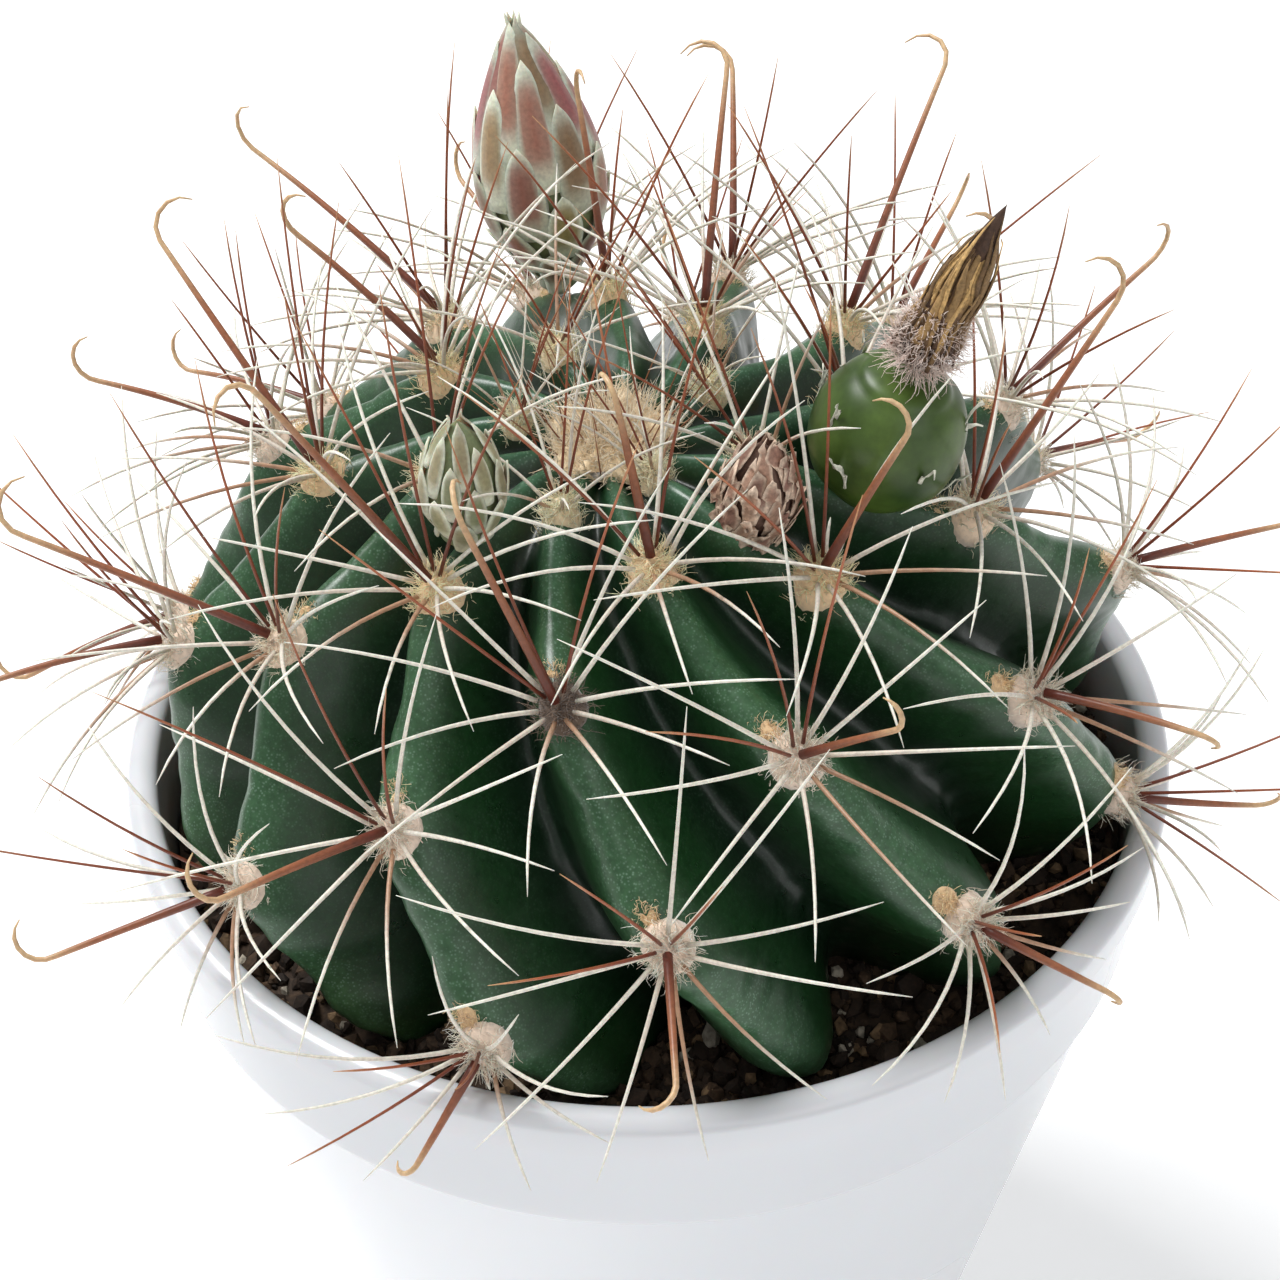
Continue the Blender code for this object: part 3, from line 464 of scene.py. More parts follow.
soil_number = number_of(soil_polar)
soil_phase = np.arange(STEM_COLUMNS) * RIBS / STEM_COLUMNS
soil_angles = rib_azimuth(soil_phase, soil_number)
soil_heights = np.concatenate([[POT_FLOOR + GAP],
                               np.linspace(POT_FLOOR + 1.5 * MM, SOIL_TOP, 8)])
soil_radii = wall_inner(soil_heights) - SOIL_CLEAR
soil_radii[0] -= 1.2 * MM
soil_side = lathe(soil_heights, soil_radii, soil_angles)
top_share = np.linspace(0, 1, SOIL_ROWS + 1)[1:]
top_inner = stem_point(soil_number, soil_phase, SOIL_CLEAR)
soil_crown = mix(soil_side[-1][None] + np.zeros((SOIL_ROWS, 1, 1)), top_inner[None],
                 np.broadcast_to(top_share[:, None], (SOIL_ROWS, STEM_COLUMNS)))
soil_crown[..., 2] = soil_level(soil_crown * np.array([1, 1, 0]))
buried = np.linspace(soil_polar, bottom_polar, 4)[1:, None]
soil_hollow = stem_point(number_of(buried), soil_phase[None], SOIL_CLEAR)
soil_hollow[..., 2] -= GAP
soil_points = np.concatenate([soil_side, soil_crown, soil_hollow])
soil_tints = mix((0.028, 0.017, 0.011), (0.075, 0.046, 0.027),
                 0.5 + 0.5 * ripple(soil_points, 2 * MM, 10))

PHI = 1.618034                      # golden ratio, which gives an icosahedron's corners
ICO = unit(np.array([[a, b * PHI, 0] for a in (-1, 1) for b in (-1, 1)]
                    + [[0, a, b * PHI] for a in (-1, 1) for b in (-1, 1)]
                    + [[b * PHI, 0, a] for a in (-1, 1) for b in (-1, 1)]))


def icosahedron_faces():
    """Every three corners that are all neighbours, turned to face outwards."""
    near = np.linalg.norm(ICO[:, None] - ICO[None], axis=-1) < 1.06
    triples = [(a, b, c) for a in range(12) for b in range(a + 1, 12) for c in range(b + 1, 12)
               if near[a, b] and near[b, c] and near[a, c]]
    faces = np.array(triples)
    corners = ICO[faces]
    volume = (corners[:, 0] * np.cross(corners[:, 1], corners[:, 2])).sum(-1)
    return np.where((volume > 0)[:, None], faces, faces[:, ::-1])


def crumbs(centres, sizes, tints, seed):
    """Icosahedra stretched and dented at random, one at each centre."""
    rng = np.random.default_rng(seed)
    count = len(centres)
    turn = np.linalg.qr(rng.normal(size=(count, 3, 3)))[0]
    turn *= np.sign(np.linalg.det(turn))[:, None, None]
    shape = ICO[None] * rng.uniform(0.72, 1.2, (count, 12, 1))
    shape = shape * rng.uniform(0.55, 1.1, (count, 1, 3))
    points = centres[:, None] + np.einsum("kij,kvj->kvi", turn, shape) * sizes[:, None, None]
    faces = icosahedron_faces()[None] + 12 * np.arange(count)[:, None, None]
    return points, [faces.reshape(-1, 3)], np.broadcast_to(tints[:, None], points.shape)


rng = np.random.default_rng(11)
grain_flat = np.sqrt(rng.uniform((20 * MM) ** 2, (MOUTH_RADIUS - MM) ** 2, 3 * GRAINS))
grain_angle = rng.uniform(0, 2 * math.pi, 3 * GRAINS)
grain_place = np.stack([grain_flat * np.cos(grain_angle), grain_flat * np.sin(grain_angle),
                        0 * grain_flat], -1)
grain_size = np.clip(rng.lognormal(math.log(0.62), 0.38, 3 * GRAINS), 0.3, 1.7) * MM
grain_place[:, 2] = soil_level(grain_place) + rng.uniform(-0.2, 0.9, 3 * GRAINS) * grain_size
room = (stem_distance(grain_place) > grain_size) & (grain_flat + grain_size
                                                    < wall_inner(grain_place[:, 2]) - 0.2 * MM)
grain_place, grain_size = grain_place[room][:GRAINS], grain_size[room][:GRAINS]
grain_kind = rng.uniform(0, 1, len(grain_place))[:, None]
grain_tint = np.where(grain_kind < 0.5, (0.03, 0.018, 0.011), (0.085, 0.05, 0.028))
grain_tint = np.where(grain_kind > 0.84, (0.22, 0.14, 0.075), grain_tint)
grain_tint = np.where(grain_kind > 0.965, (0.45, 0.4, 0.32), grain_tint)
grain_tint = grain_tint * rng.uniform(0.7, 1.3, (len(grain_place), 1))
soil_mix = tinted_finish("soil_mix", 0.9, 0.5 * MM, 0.15 * MM, rough_range=0.08, shade=(0.55, 1.35),
                         bump=0.8)
add_piece("soil_fill", merge((soil_points.reshape(-1, 3),
                              tube_faces(1, *soil_points.shape[:2]), soil_tints.reshape(-1, 3)),
                             crumbs(grain_place, grain_size, grain_tint, 12)),
          [soil_mix], ["soil"], sharp=35)

# ---------------------------------------------------------------- buds and fruit
# A tall flower bud and a small green one wrapped in overlapping scales, a withered bud, and a
# smooth green fruit that still carries the dry flower.  Each grows on a rib, over its areole.

FLOWER_BUD = {"areole": 32, "set": 5.6 * MM, "radius": 5.5 * MM, "length": 25.2 * MM,
              "lean": -0.1}
GREEN_BUD = {"areole": 18, "set": 4.9 * MM, "radius": 3.0 * MM, "length": 11.6 * MM,
             "lean": 0.12}
DRIED_BUD = {"areole": 20, "set": 5.6 * MM, "radius": 2.6 * MM, "length": 9.8 * MM}
FRUIT = {"areole": 25, "set": 8.8 * MM, "radius": 5.8 * MM, "length": 12.4 * MM}
DRIED_FLOWER_LENGTH = 15 * MM
DRIED_FLOWER_RADIUS = 2.5 * MM
SCALE_RINGS = 11
SCALE_SIDES = 12
BUD_CORE = (0.25, 0.3, 0.15)
HAIR_WIDTH = 0.05 * MM
FLOWER_BUD_SHARES = [(0, 0), (0.01, 0.2), (0.06, 0.3), (0.16, 0.6), (0.3, 0.92), (0.45, 1.0),
                     (0.6, 0.9), (0.75, 0.66), (0.88, 0.36), (0.96, 0.14), (1, 0)]
GREEN_BUD_SHARES = [(0, 0), (0.02, 0.35), (0.15, 0.7), (0.35, 1.0), (0.6, 0.92), (0.8, 0.6),
                    (0.93, 0.25), (1, 0)]
FRUIT_SHARES = [(0, 0), (0.03, 0.34), (0.12, 0.66), (0.28, 0.92), (0.5, 1.0), (0.72, 0.9),
                (0.88, 0.65), (0.97, 0.34), (1, 0)]
DRIED_SHARES = [(0, 0), (0.03, 0.5), (0.2, 0.95), (0.38, 0.8), (0.55, 0.85), (0.75, 0.6),
                (0.92, 0.25), (1, 0)]


def stem_frame(n, phase):
    """Surface point with its side, up-the-rib and outward directions."""
    here = stem_point(n, phase)
    up = unit(stem_point(n - 0.4, phase) - stem_point(n + 0.4, phase))
    across = stem_point(n, phase + 0.04) - stem_point(n, phase - 0.04)
    out = unit(np.cross(unit(across), up))
    return here, np.cross(up, out), up, out


def areole_phase(n):
    """Rib that areole n stands on, as a whole number."""
    return -5 * n


def above_areole(item):
    """Frame on the same rib, the item's set distance above its areole."""
    start = item["areole"]
    phase = areole_phase(start)
    origin = stem_point(start, phase)
    n = float(start)
    while n > 0.5 and np.linalg.norm(stem_point(n, phase) - origin) < item["set"]:
        n -= 0.05
    return stem_frame(n, phase)


def stand(item, tilt):
    """Base point and axis of a bud: between the stem's outward direction and straight up."""
    here, _, _, out = above_areole(item)
    sideways = np.array([item.get("lean", 0), 0, 0])
    axis = unit((1 - tilt) * out + tilt * np.array([0, 0, 1.0]) + sideways)
    return here + out * (GAP + 0.15 * MM), axis


def axis_frame(axis):
    """Two unit vectors square to an axis."""
    helper = np.array([0, 0, 1.0]) if abs(axis[2]) < 0.9 else np.array([1.0, 0, 0])
    first = unit(np.cross(helper, axis))
    return first, np.cross(axis, first)


class Body:
    """A turned body: its base, axis, length and radius along the axis, eased between the shares."""

    def __init__(self, base, axis, radius, length, shares):
        self.base, self.axis, self.radius, self.length = base, axis, radius, length
        self.shares = np.array(shares, float)
        self.first, self.second = axis_frame(axis)

    def radius_at(self, share):
        """Cubic curve through the shares, with slopes from the neighbouring shares."""
        along, across = self.shares[:, 0], self.shares[:, 1]
        slope = np.gradient(across, along)
        slope[0], slope[-1] = 3.0, -3.0
        share = np.clip(share, 0, 1)
        index = np.clip(np.searchsorted(along, share, side="right") - 1, 0, len(along) - 2)
        step = along[index + 1] - along[index]
        t = (share - along[index]) / step
        low, high = across[index], across[index + 1]
        curve = ((1 + 2 * t) * (1 - t) ** 2 * low + t * (1 - t) ** 2 * step * slope[index]
                 + t * t * (3 - 2 * t) * high + t * t * (t - 1) * step * slope[index + 1])
        return self.radius * np.maximum(curve, 0)

    def place(self, height, radius, angle):
        """Point at a height along the axis, a distance from it and an angle about it."""
        flat = np.cos(angle)[..., None] * self.first + np.sin(angle)[..., None] * self.second
        return self.base + height[..., None] * self.axis + radius[..., None] * flat

    def skin(self, rings, sides, shrink=1.0):
        """Grid of points over the whole body; shrink pulls it in under its scales."""
        share = 0.5 - 0.5 * np.cos(np.linspace(0.03, 1, rings) * math.pi)
        angle = np.arange(sides) * 2 * math.pi / sides
        share, angle = np.meshgrid(share, angle, indexing="ij")
        radius = np.maximum(self.radius_at(share) * shrink, 0.02 * MM)
        return self.place(share * self.length, radius, angle)


def scales_on(body, starts, turns, lengths, halves, thick, lift, flare=0.0, twist=0.0, point=2.4,
              rings=SCALE_RINGS, sides=SCALE_SIDES):
    """Scales that lie on a body: each runs up it from its start, widest near a third of its length.

    The half width is half * sqrt(t + .25) * (1 - t^point); round the section, the cosine goes
    across the scale and the sine through its thickness.  Returns points, t and the cosine.
    """
    t = np.linspace(0, 1, rings)[None, :, None]
    round_section = np.arange(sides)[None, None] * 2 * math.pi / sides
    column = [np.asarray(value, float).reshape(-1, 1, 1) + np.zeros((len(starts), 1, 1))
              for value in (starts, turns, lengths, halves, lift, flare, twist)]
    start, turn, length, half, lifted, flared, twisted = column
    across = half * 1.2 * np.sqrt(t + 0.25) * (1 - t ** point) + 0.03 * MM
    height = start + t * length + 0 * round_section
    under = body.radius_at(height / body.length)
    through = thick * (1 - 0.6 * t)
    radius = (under + lifted * (0.15 + t) + flared * t ** 3
              + through * np.sin(round_section) - 0.25 * across * np.cos(round_section) ** 2 * t)
    wrap = across * np.cos(round_section) / np.maximum(under + lifted, 0.9 * MM)
    angle = turn + twisted * t - wrap
    points = body.place(height, np.maximum(radius, 0.03 * MM), angle)
    return points, t + 0 * points[..., 0], np.cos(round_section) + 0 * points[..., 0]


def strands(roots, headings, lengths, bends, width, tints, rings=4):
    """Three-sided hairs: each runs from its root along its heading, bowed by its bend."""
    t = np.linspace(0, 1, rings)[None, :, None]
    line = (roots[:, None] + headings[:, None] * lengths[:, None, None] * t
            + bends[:, None] * 4 * t * (1 - t))
    helper = np.where(np.abs(headings[:, 2:]) < 0.9, (0, 0, 1.0), (1.0, 0, 0))
    first = unit(np.cross(helper, headings))
    second = np.cross(headings, first)
    angle = np.arange(3)[:, None] * 2 * math.pi / 3
    spokes = np.cos(angle) * first[:, None] + np.sin(angle) * second[:, None]
    points = line[:, :, None] + spokes[:, None] * (width * (1 - 0.75 * t))[..., None]
    tints = np.broadcast_to(tints[:, None, None], points.shape)
    return points, tube_faces(len(roots), rings, 3), tints


def golden(count):
    """Angles of successive scales, each the golden angle on from the last."""
    return np.radians(GOLDEN) * np.arange(count)


def bud_tint(t, across, centre, margin, seed):
    """Coloured middle of a scale inside its pale thin margin and tip."""
    rng = np.random.default_rng(seed)
    inner = smooth((0.74 - np.abs(across)) / 0.3)
    inner = inner * smooth((t - 0.1) / 0.25) * smooth((0.95 - t) / 0.2)
    shade = rng.uniform(0.75, 1.15, (len(t), 1, 1, 1))
    kind = rng.uniform(0, 1, t.shape[:1])[:, None, None] * np.ones(t.shape)
    return mix(margin, mix(centre[0], centre[1], kind), inner) * shade


def scale_starts(body, count, first, span):
    """Rank of each scale, 0 to 1, and its start: first + span * rank, as a share of the body."""
    rank = np.arange(count) / (count - 1)
    return rank, (first + span * rank) * body.length


def add_wrapped(name, body, shrink, core_tint, finish, slot, nodes, *parts, rings=20, sides=26):
    """Piece made of a body's core, pulled in by shrink, and the parts that wrap it."""
    core = body.skin(rings, sides, shrink), tube_faces(1, rings, sides), core_tint
    add_piece(name, merge(core, *parts), [finish], nodes)


bud_scales = tinted_finish("bud_scales", 0.5, 0.35 * MM, 0.05 * MM, rough_range=0.08,
                           shade=(0.82, 1.12), bump=0.4, Subsurface_Weight=0.15,
                           Subsurface_Scale=0.0015, Sheen_Weight=0.15)
dried_papery = tinted_finish("dried_papery", 0.75, 0.3 * MM, 0.12 * MM, rough_range=0.1,
                             shade=(0.7, 1.3), bump=0.7)
fruit_skin = tinted_finish("fruit_skin", 0.36, 0.8 * MM, 0.03 * MM, rough_range=0.06,
                           shade=(0.85, 1.15), bump=0.2)

flower_bud = Body(*stand(FLOWER_BUD, 0.9), FLOWER_BUD["radius"], FLOWER_BUD["length"],
                  FLOWER_BUD_SHARES)
count = 34
rank, scale_start = scale_starts(flower_bud, count, 0.02, 0.72)
scale_length = (5.5 + 6.5 * smooth(rank / 0.7) - 1.5 * rank) * MM
scale_length = np.minimum(scale_length, 1.04 * flower_bud.length - scale_start)
points, t, across = scales_on(flower_bud, scale_start, golden(count), scale_length,
                              (1.9 + 1.1 * smooth(rank / 0.5) - 1.2 * rank) * MM, 0.22 * MM,
                              0.35 * MM, flare=0.25 * MM)
tints = bud_tint(t, across, ((0.46, 0.13, 0.13), (0.3, 0.26, 0.09)), (0.8, 0.82, 0.66), 21)
add_wrapped("flower_bud_scales", flower_bud, 0.93, BUD_CORE, bud_scales, "bud_scales",
            ["flower_bud"], (points, tube_faces(count, SCALE_RINGS, SCALE_SIDES), tints),
            rings=24, sides=32)

green_bud = Body(*stand(GREEN_BUD, 0.3), GREEN_BUD["radius"], GREEN_BUD["length"], GREEN_BUD_SHARES)
count = 24
rank, scale_start = scale_starts(green_bud, count, 0.02, 0.66)
scale_length = np.minimum(4.6 * MM, 1.05 * green_bud.length - scale_start)
points, t, across = scales_on(green_bud, scale_start, golden(count), scale_length,
                              (1.25 - 0.5 * rank) * MM, 0.2 * MM, 0.3 * MM, flare=0.3 * MM)
tints = bud_tint(t, across, ((0.24, 0.28, 0.13), (0.42, 0.36, 0.2)), (0.86, 0.86, 0.68), 22)
add_wrapped("green_bud_scales", green_bud, 0.93, BUD_CORE, bud_scales, "bud_scales",
            ["green_bud"], (points, tube_faces(count, SCALE_RINGS, SCALE_SIDES), tints))

dried_bud = Body(*stand(DRIED_BUD, 0.3), DRIED_BUD["radius"], DRIED_BUD["length"], GREEN_BUD_SHARES)
rng = np.random.default_rng(23)
count = 46
rank, scale_start = scale_starts(dried_bud, count, 0.01, 0.68)
scale_length = np.minimum(rng.uniform(2.6, 4.0, count) * MM, 1.08 * dried_bud.length - scale_start)
points, t, across = scales_on(dried_bud, scale_start, golden(count) + rng.uniform(-0.2, 0.2, count),
                              scale_length, rng.uniform(0.55, 1.0, count) * MM, 0.12 * MM,
                              0.35 * MM, flare=rng.uniform(0, 0.8, count) * MM,
                              twist=rng.uniform(-0.3, 0.3, count))
points = points + 0.2 * MM * ripple(points, 1.1 * MM, 24)[..., None]
tints = bud_tint(t, across, ((0.26, 0.12, 0.09), (0.46, 0.28, 0.19)), (0.78, 0.6, 0.46), 25)
add_wrapped("dried_bud_scales", dried_bud, 0.92, (0.16, 0.09, 0.065), dried_papery, "dried_papery",
            ["dried_bud"], (points, tube_faces(count, SCALE_RINGS, SCALE_SIDES), tints))

fruit = Body(*stand(FRUIT, 0.2), FRUIT["radius"], FRUIT["length"], FRUIT_SHARES)
skin = fruit.skin(64, 80)
skin = skin + 0.06 * MM * ripple(skin, 5 * MM, 26)[..., None]
skin_tint = mix((0.03, 0.066, 0.01), (0.068, 0.122, 0.02), 0.5 + 0.5 * ripple(skin, 7 * MM, 27))
count = 10
rng = np.random.default_rng(28)
scale_start = (0.3 + 0.5 * np.arange(count) / count) * fruit.length
points, t, across = scales_on(fruit, scale_start, golden(count) + 0.9,
                              rng.uniform(1.4, 2.3, count) * MM,
                              rng.uniform(0.18, 0.34, count) * MM, 0.08 * MM, 0.2 * MM,
                              flare=rng.uniform(0.8, 1.8, count) * MM,
                              twist=rng.uniform(-0.3, 0.3, count), rings=8, sides=8)
points = points + 0.18 * MM * ripple(points, 0.9 * MM, 33)[..., None]
add_piece("fruit_berry", merge((skin, tube_faces(1, 64, 80), skin_tint),
                               (points, tube_faces(count, 8, 8), (0.75, 0.74, 0.62))),
          [fruit_skin, dried_papery], ["fruit"], second_from=2)

dried_flower = Body(fruit.base + fruit.axis * (fruit.length + GAP),
                    unit(fruit.axis + np.array([0.35, 0, 0.5])), DRIED_FLOWER_RADIUS,
                    DRIED_FLOWER_LENGTH, DRIED_SHARES)
rng = np.random.default_rng(29)
count = 84
rank, scale_start = scale_starts(dried_flower, count, 0.12, 0.3)
scale_length = rng.uniform(0.5, 1.0, count) * (dried_flower.length * 1.03 - scale_start)
points, t, across = scales_on(dried_flower, scale_start, golden(count), scale_length,
                              rng.uniform(0.12, 0.4, count) * MM, 0.09 * MM,
                              (-0.1 - 1.2 * rank) * MM, flare=rng.uniform(-0.5, 0.4, count) * MM,
                              twist=rng.uniform(-1.1, 0.1, count), rings=14, sides=6)
points = points + 0.2 * MM * ripple(points, 2.1 * MM, 30)[..., None]
gold = rng.uniform(0, 1.15, count)[:, None, None] * smooth((t + 0.1) / 0.5)
tints = mix((0.06, 0.026, 0.014), (0.7, 0.44, 0.17), gold ** 1.3)
fluff = 1300
fluff_share, fluff_turn = rng.uniform(0.0, 0.38, fluff), rng.uniform(0, 2 * math.pi, fluff)
fluff_root = dried_flower.place(fluff_share * dried_flower.length,
                                dried_flower.radius_at(fluff_share) * 0.75, fluff_turn)
outward = dried_flower.place(0 * fluff_share, 1 + 0 * fluff_share, fluff_turn) - dried_flower.base
heading = unit(outward + dried_flower.axis * rng.uniform(-0.7, 1.4, (fluff, 1))
               + rng.normal(size=(fluff, 3)) * 0.4)
fluff_tint = mix((0.8, 0.63, 0.56), (0.98, 0.86, 0.78), rng.uniform(0, 1, fluff))
fluff_length = rng.uniform(0.8, 2.3, fluff) * (1.3 - 2.2 * fluff_share) * MM
wool = strands(fluff_root, heading, fluff_length, rng.normal(size=(fluff, 3)) * 0.25 * MM,
               HAIR_WIDTH, fluff_tint, rings=5)
add_wrapped("dried_flower_petals", dried_flower, 0.6, (0.07, 0.035, 0.02), dried_papery,
            "dried_papery", ["dried_flower"], (points, tube_faces(count, 14, 6), tints), wool)

# ---------------------------------------------------------------- crown wool
# The growing point: a cushion of cream felt in the dip at the apex, from which the youngest
# spines, still soft and thin, stand up.

YOUNGEST = 7
MATURE = 14
PAD_RADIUS = 2.1 * MM
PAD_HEIGHT = 1.2 * MM
CREAM_WOOL = (0.95, 0.78, 0.53)
RED_BROWN = (0.2, 0.05, 0.022)
IVORY = (0.92, 0.88, 0.77)
CUSHION_RINGS = 14
CUSHION_SIDES = 48


def pad_radius(n):
    """Radius of an areole's pad, which grows until it is mature."""
    return PAD_RADIUS * (0.62 + 0.38 * float(smooth((n - YOUNGEST) / (MATURE - YOUNGEST))))


def spine_tube(paths, widths, binormals, tints, sides=7):
    """Tubes along planar paths: at each ring the tangent, the plane's normal and their product."""
    tangent = unit(np.gradient(paths, axis=1))
    normal = unit(np.cross(tangent, binormals[:, None]))
    angle = (np.arange(sides) * 2 * math.pi / sides)[:, None]
    spokes = (np.cos(angle) * normal[:, :, None]
              + np.sin(angle) * np.cross(tangent, normal)[:, :, None])
    points = paths[:, :, None] + spokes * widths[:, :, None, None]
    return points, tube_faces(len(paths), paths.shape[1], sides), tints[:, :, None]


spine_wood = tinted_finish("spine_wood", 0.4, 0.35 * MM, 0.03 * MM, rough_range=0.07,
                           shade=(0.82, 1.14), bump=0.3, Subsurface_Weight=0.1,
                           Subsurface_Scale=0.001)
felt = tinted_finish("felt", 0.95, 0.4 * MM, 0.1 * MM, rough_range=0.04, shade=(0.9, 1.2), bump=0.5,
                     Sheen_Weight=0.4)

rng = np.random.default_rng(31)
reach = STEM_RADIUS * math.sin(polar_of(YOUNGEST)) - pad_radius(YOUNGEST)
rings = np.linspace(0.03, 1, CUSHION_RINGS)[::-1]
turns = np.arange(CUSHION_SIDES) * 2 * math.pi / CUSHION_SIDES
cushion_flat = (reach * rings)[:, None] * (1 + 0.1 * np.sin(5 * turns[None] + 1))
cushion_angle = np.broadcast_to(turns, cushion_flat.shape)
cushion_number = number_of(np.arcsin(cushion_flat / STEM_RADIUS))
cushion = stem_point(cushion_number, rib_phase(cushion_angle, cushion_number))
cushion[..., 2] += (2.2 * MM * np.sqrt(np.maximum(0, 1 - (rings / 1.02) ** 2))[:, None] - 0.2 * MM
                    + 0.25 * MM * ripple(cushion, 2.4 * MM, 32))
hairs = 1900
pick = rng.integers(0, CUSHION_RINGS - 1, hairs), rng.integers(0, CUSHION_SIDES, hairs)
hair_root = cushion[pick] + rng.normal(size=(hairs, 3)) * 0.25 * MM
apex = stem_point(0.01, 0.0)
heading = unit((hair_root - apex) * np.array([1, 1, 0]) / reach * 0.9 + np.array([0, 0, 0.7])
               + rng.normal(size=(hairs, 3)) * 0.5)
hair_tint = mix((0.9, 0.7, 0.46), (0.98, 0.9, 0.72), rng.uniform(0, 1, hairs))
crown_hair = strands(hair_root, heading, rng.uniform(0.8, 2.2, hairs) * MM,
                     rng.normal(size=(hairs, 3)) * 0.3 * MM, HAIR_WIDTH, hair_tint, rings=5)
young = 34
young_flat = reach * np.sqrt(rng.uniform(0.02, 0.95, young))
young_angle = rng.uniform(0, 2 * math.pi, young)
young_number = number_of(np.arcsin(young_flat / STEM_RADIUS))
young_root = stem_point(young_number, rib_phase(young_angle, young_number))
young_root[:, 2] += 0.8 * MM
tip_way = np.stack([np.cos(young_angle), np.sin(young_angle), 0 * young_angle], -1)
young_way = unit(tip_way * (0.1 + 0.5 * young_flat[:, None] / reach) + np.array([0, 0, 1.0])
                 + rng.normal(size=(young, 3)) * 0.14)
young_length = (5 + 9 * young_flat / reach * rng.uniform(0.7, 1.2, young))[:, None, None] * MM
t = np.linspace(0, 1, 7)[None, :, None]
paths = young_root[:, None] + young_way[:, None] * young_length * t
plane = unit(np.cross(young_way, rng.normal(size=(young, 3))))
widths = 0.075 * MM * (1 - 0.85 * t[..., 0]) * np.ones((young, 1))
pale = (rng.uniform(0, 1, young) > 0.6)[:, None]
tints = np.where(pale[..., None], IVORY, mix(RED_BROWN, (0.45, 0.25, 0.12), t[..., 0]))
add_piece("crown_cushion", merge((cushion, tube_faces(1, CUSHION_RINGS, CUSHION_SIDES), CREAM_WOOL),
                                 crown_hair, spine_tube(paths, widths, plane, tints, 5)),
          [felt, spine_wood], ["crown_wool"], second_from=4)

# ---------------------------------------------------------------- areoles: felt pads and spines
# Forty areoles on the rib crests.  Each is a pad of felt with about ten ivory radials laid
# against the stem, three thin red-brown uprights and, once mature, one thick hooked central.

OLDEST = 46
RIM_CLEARANCE = 0.5 * MM
RADIAL_LENGTH = 18 * MM
UPRIGHT_LENGTH = 22 * MM
HOOK_RADIUS = 2.2 * MM
HOOK_TURN = math.radians(150)
RADIAL_WIDTH = 0.27 * MM
RADIAL_BEND = 0.06
UPRIGHT_WIDTH = 0.25 * MM
CENTRAL_WIDTH = 0.42 * MM
RADIALS = 10
RIM_SHORTENING = 0.45
YOUNG_RADIALS = 6
CENTRAL_LEAN = {
    14: (10, 50, 22, 90), 15: (174, 65, 14, 0), 18: (-105, 68, 22, 180), 20: (75, 68, 14.5, 0),
    21: (-80, 48, 24, 0), 22: (12, 58, 24, 90), 23: (-167, 56, 18, 0), 24: (5, 50, 25, 0),
    25: (60, 60, 20, 0), 26: (-75, 55, 22, 0), 27: (8, 66, 20, 90), 28: (48, 62, 11, 0),
    30: (6, 58, 18, 0), 31: (-55, 58, 16, 0), 33: (-20, 52, 13, 180), 36: (-28, 58, 12.5, -90),
    38: (3, 60, 14, 0), 39: (-68, 52, 16, 0), 41: (15, 56, 11, 180), 44: (-62, 50, 9.5, -90),
    46: (45, 58, 12, 0),
}
OTHER_LEAN = (0, 55, 17, 0)
OWN_SPACING = 0.08 * MM             # between spines of one areole
NEIGHBOUR_SPACING = GAP + 0.1 * MM  # between spines of two areoles
BODY_SPACING = GAP + 0.3 * MM       # from a spine to the stem, the soil and the pot
ROOT_ZONE = 1.6 * MM                # length by the root that may lie near the stem
RIM_SPACING = 1.5 * MM              # from a spine to the inside of the pot's mouth
SLENDER = {"central": 0.92, "upright": 0.62, "radial": 0.72}
PAD_RINGS = 8
PAD_SIDES = 20
PAD_HAIRS = 340
SCARRED = 22                        # the first areole with a scar above its pad
SCAR_ABOVE = 0.7 * MM
SCAR_RADIUS = 1.1 * MM
SCAR_HEIGHT = 0.5 * MM
SCAR_HAIRS = 90
SCAR_TINT = (0.8, 0.56, 0.32)
DARK_AREOLE = 23


def areole_frame(n):
    """Frame of areole n, kept up the rib where its pad would touch the pot's rim."""
    place = float(n)
    lowest = POT_HEIGHT + pad_radius(n) + RIM_CLEARANCE
    while place > MATURE and stem_point(place, areole_phase(n))[2] < lowest:
        place -= 0.1
    return stem_frame(place, areole_phase(n))


def spine_path(spine, t):
    """Points along a spine for t in 0..1: a slightly bowed shaft, then an arc for the hook."""
    t = np.asarray(t, float)[:, None]
    root, along, bow = spine["root"], spine["along"], spine["bow"]
    length = spine["length"]
    if not spine["hooked"]:
        return root + along * length * t + bow * length * 4 * t * (1 - t)
    radius = spine["hook_radius"]
    shaft = length - radius
    run = t * (shaft + radius * HOOK_TURN)
    on_shaft = np.clip(run / shaft, 0, 1)
    angle = np.clip((run - shaft) / radius, 0, HOOK_TURN)
    straight = root + along * shaft * on_shaft + bow * length * 4 * on_shaft * (1 - on_shaft)
    return straight + radius * (np.sin(angle) * along + (1 - np.cos(angle)) * spine["curl"])


def spine_stops(spine):
    """Where along a spine its course is tested."""
    if not spine["hooked"]:
        return np.array([0, 0.5, 1.0])
    shaft = spine["length"] - spine["hook_radius"]
    part = shaft / (shaft + spine["hook_radius"] * HOOK_TURN)
    return np.concatenate([[0, 0.5 * part], part + (1 - part) * np.array([0, 0.3, 0.6, 1.0])])


def spine_radius(spine, t):
    """Half width: a slow taper, then a sharp point."""
    t = np.asarray(t, float)
    return spine["width"] * (1 - 0.55 * t) * (1 - smooth((t - 0.9) / 0.1) * 0.7)


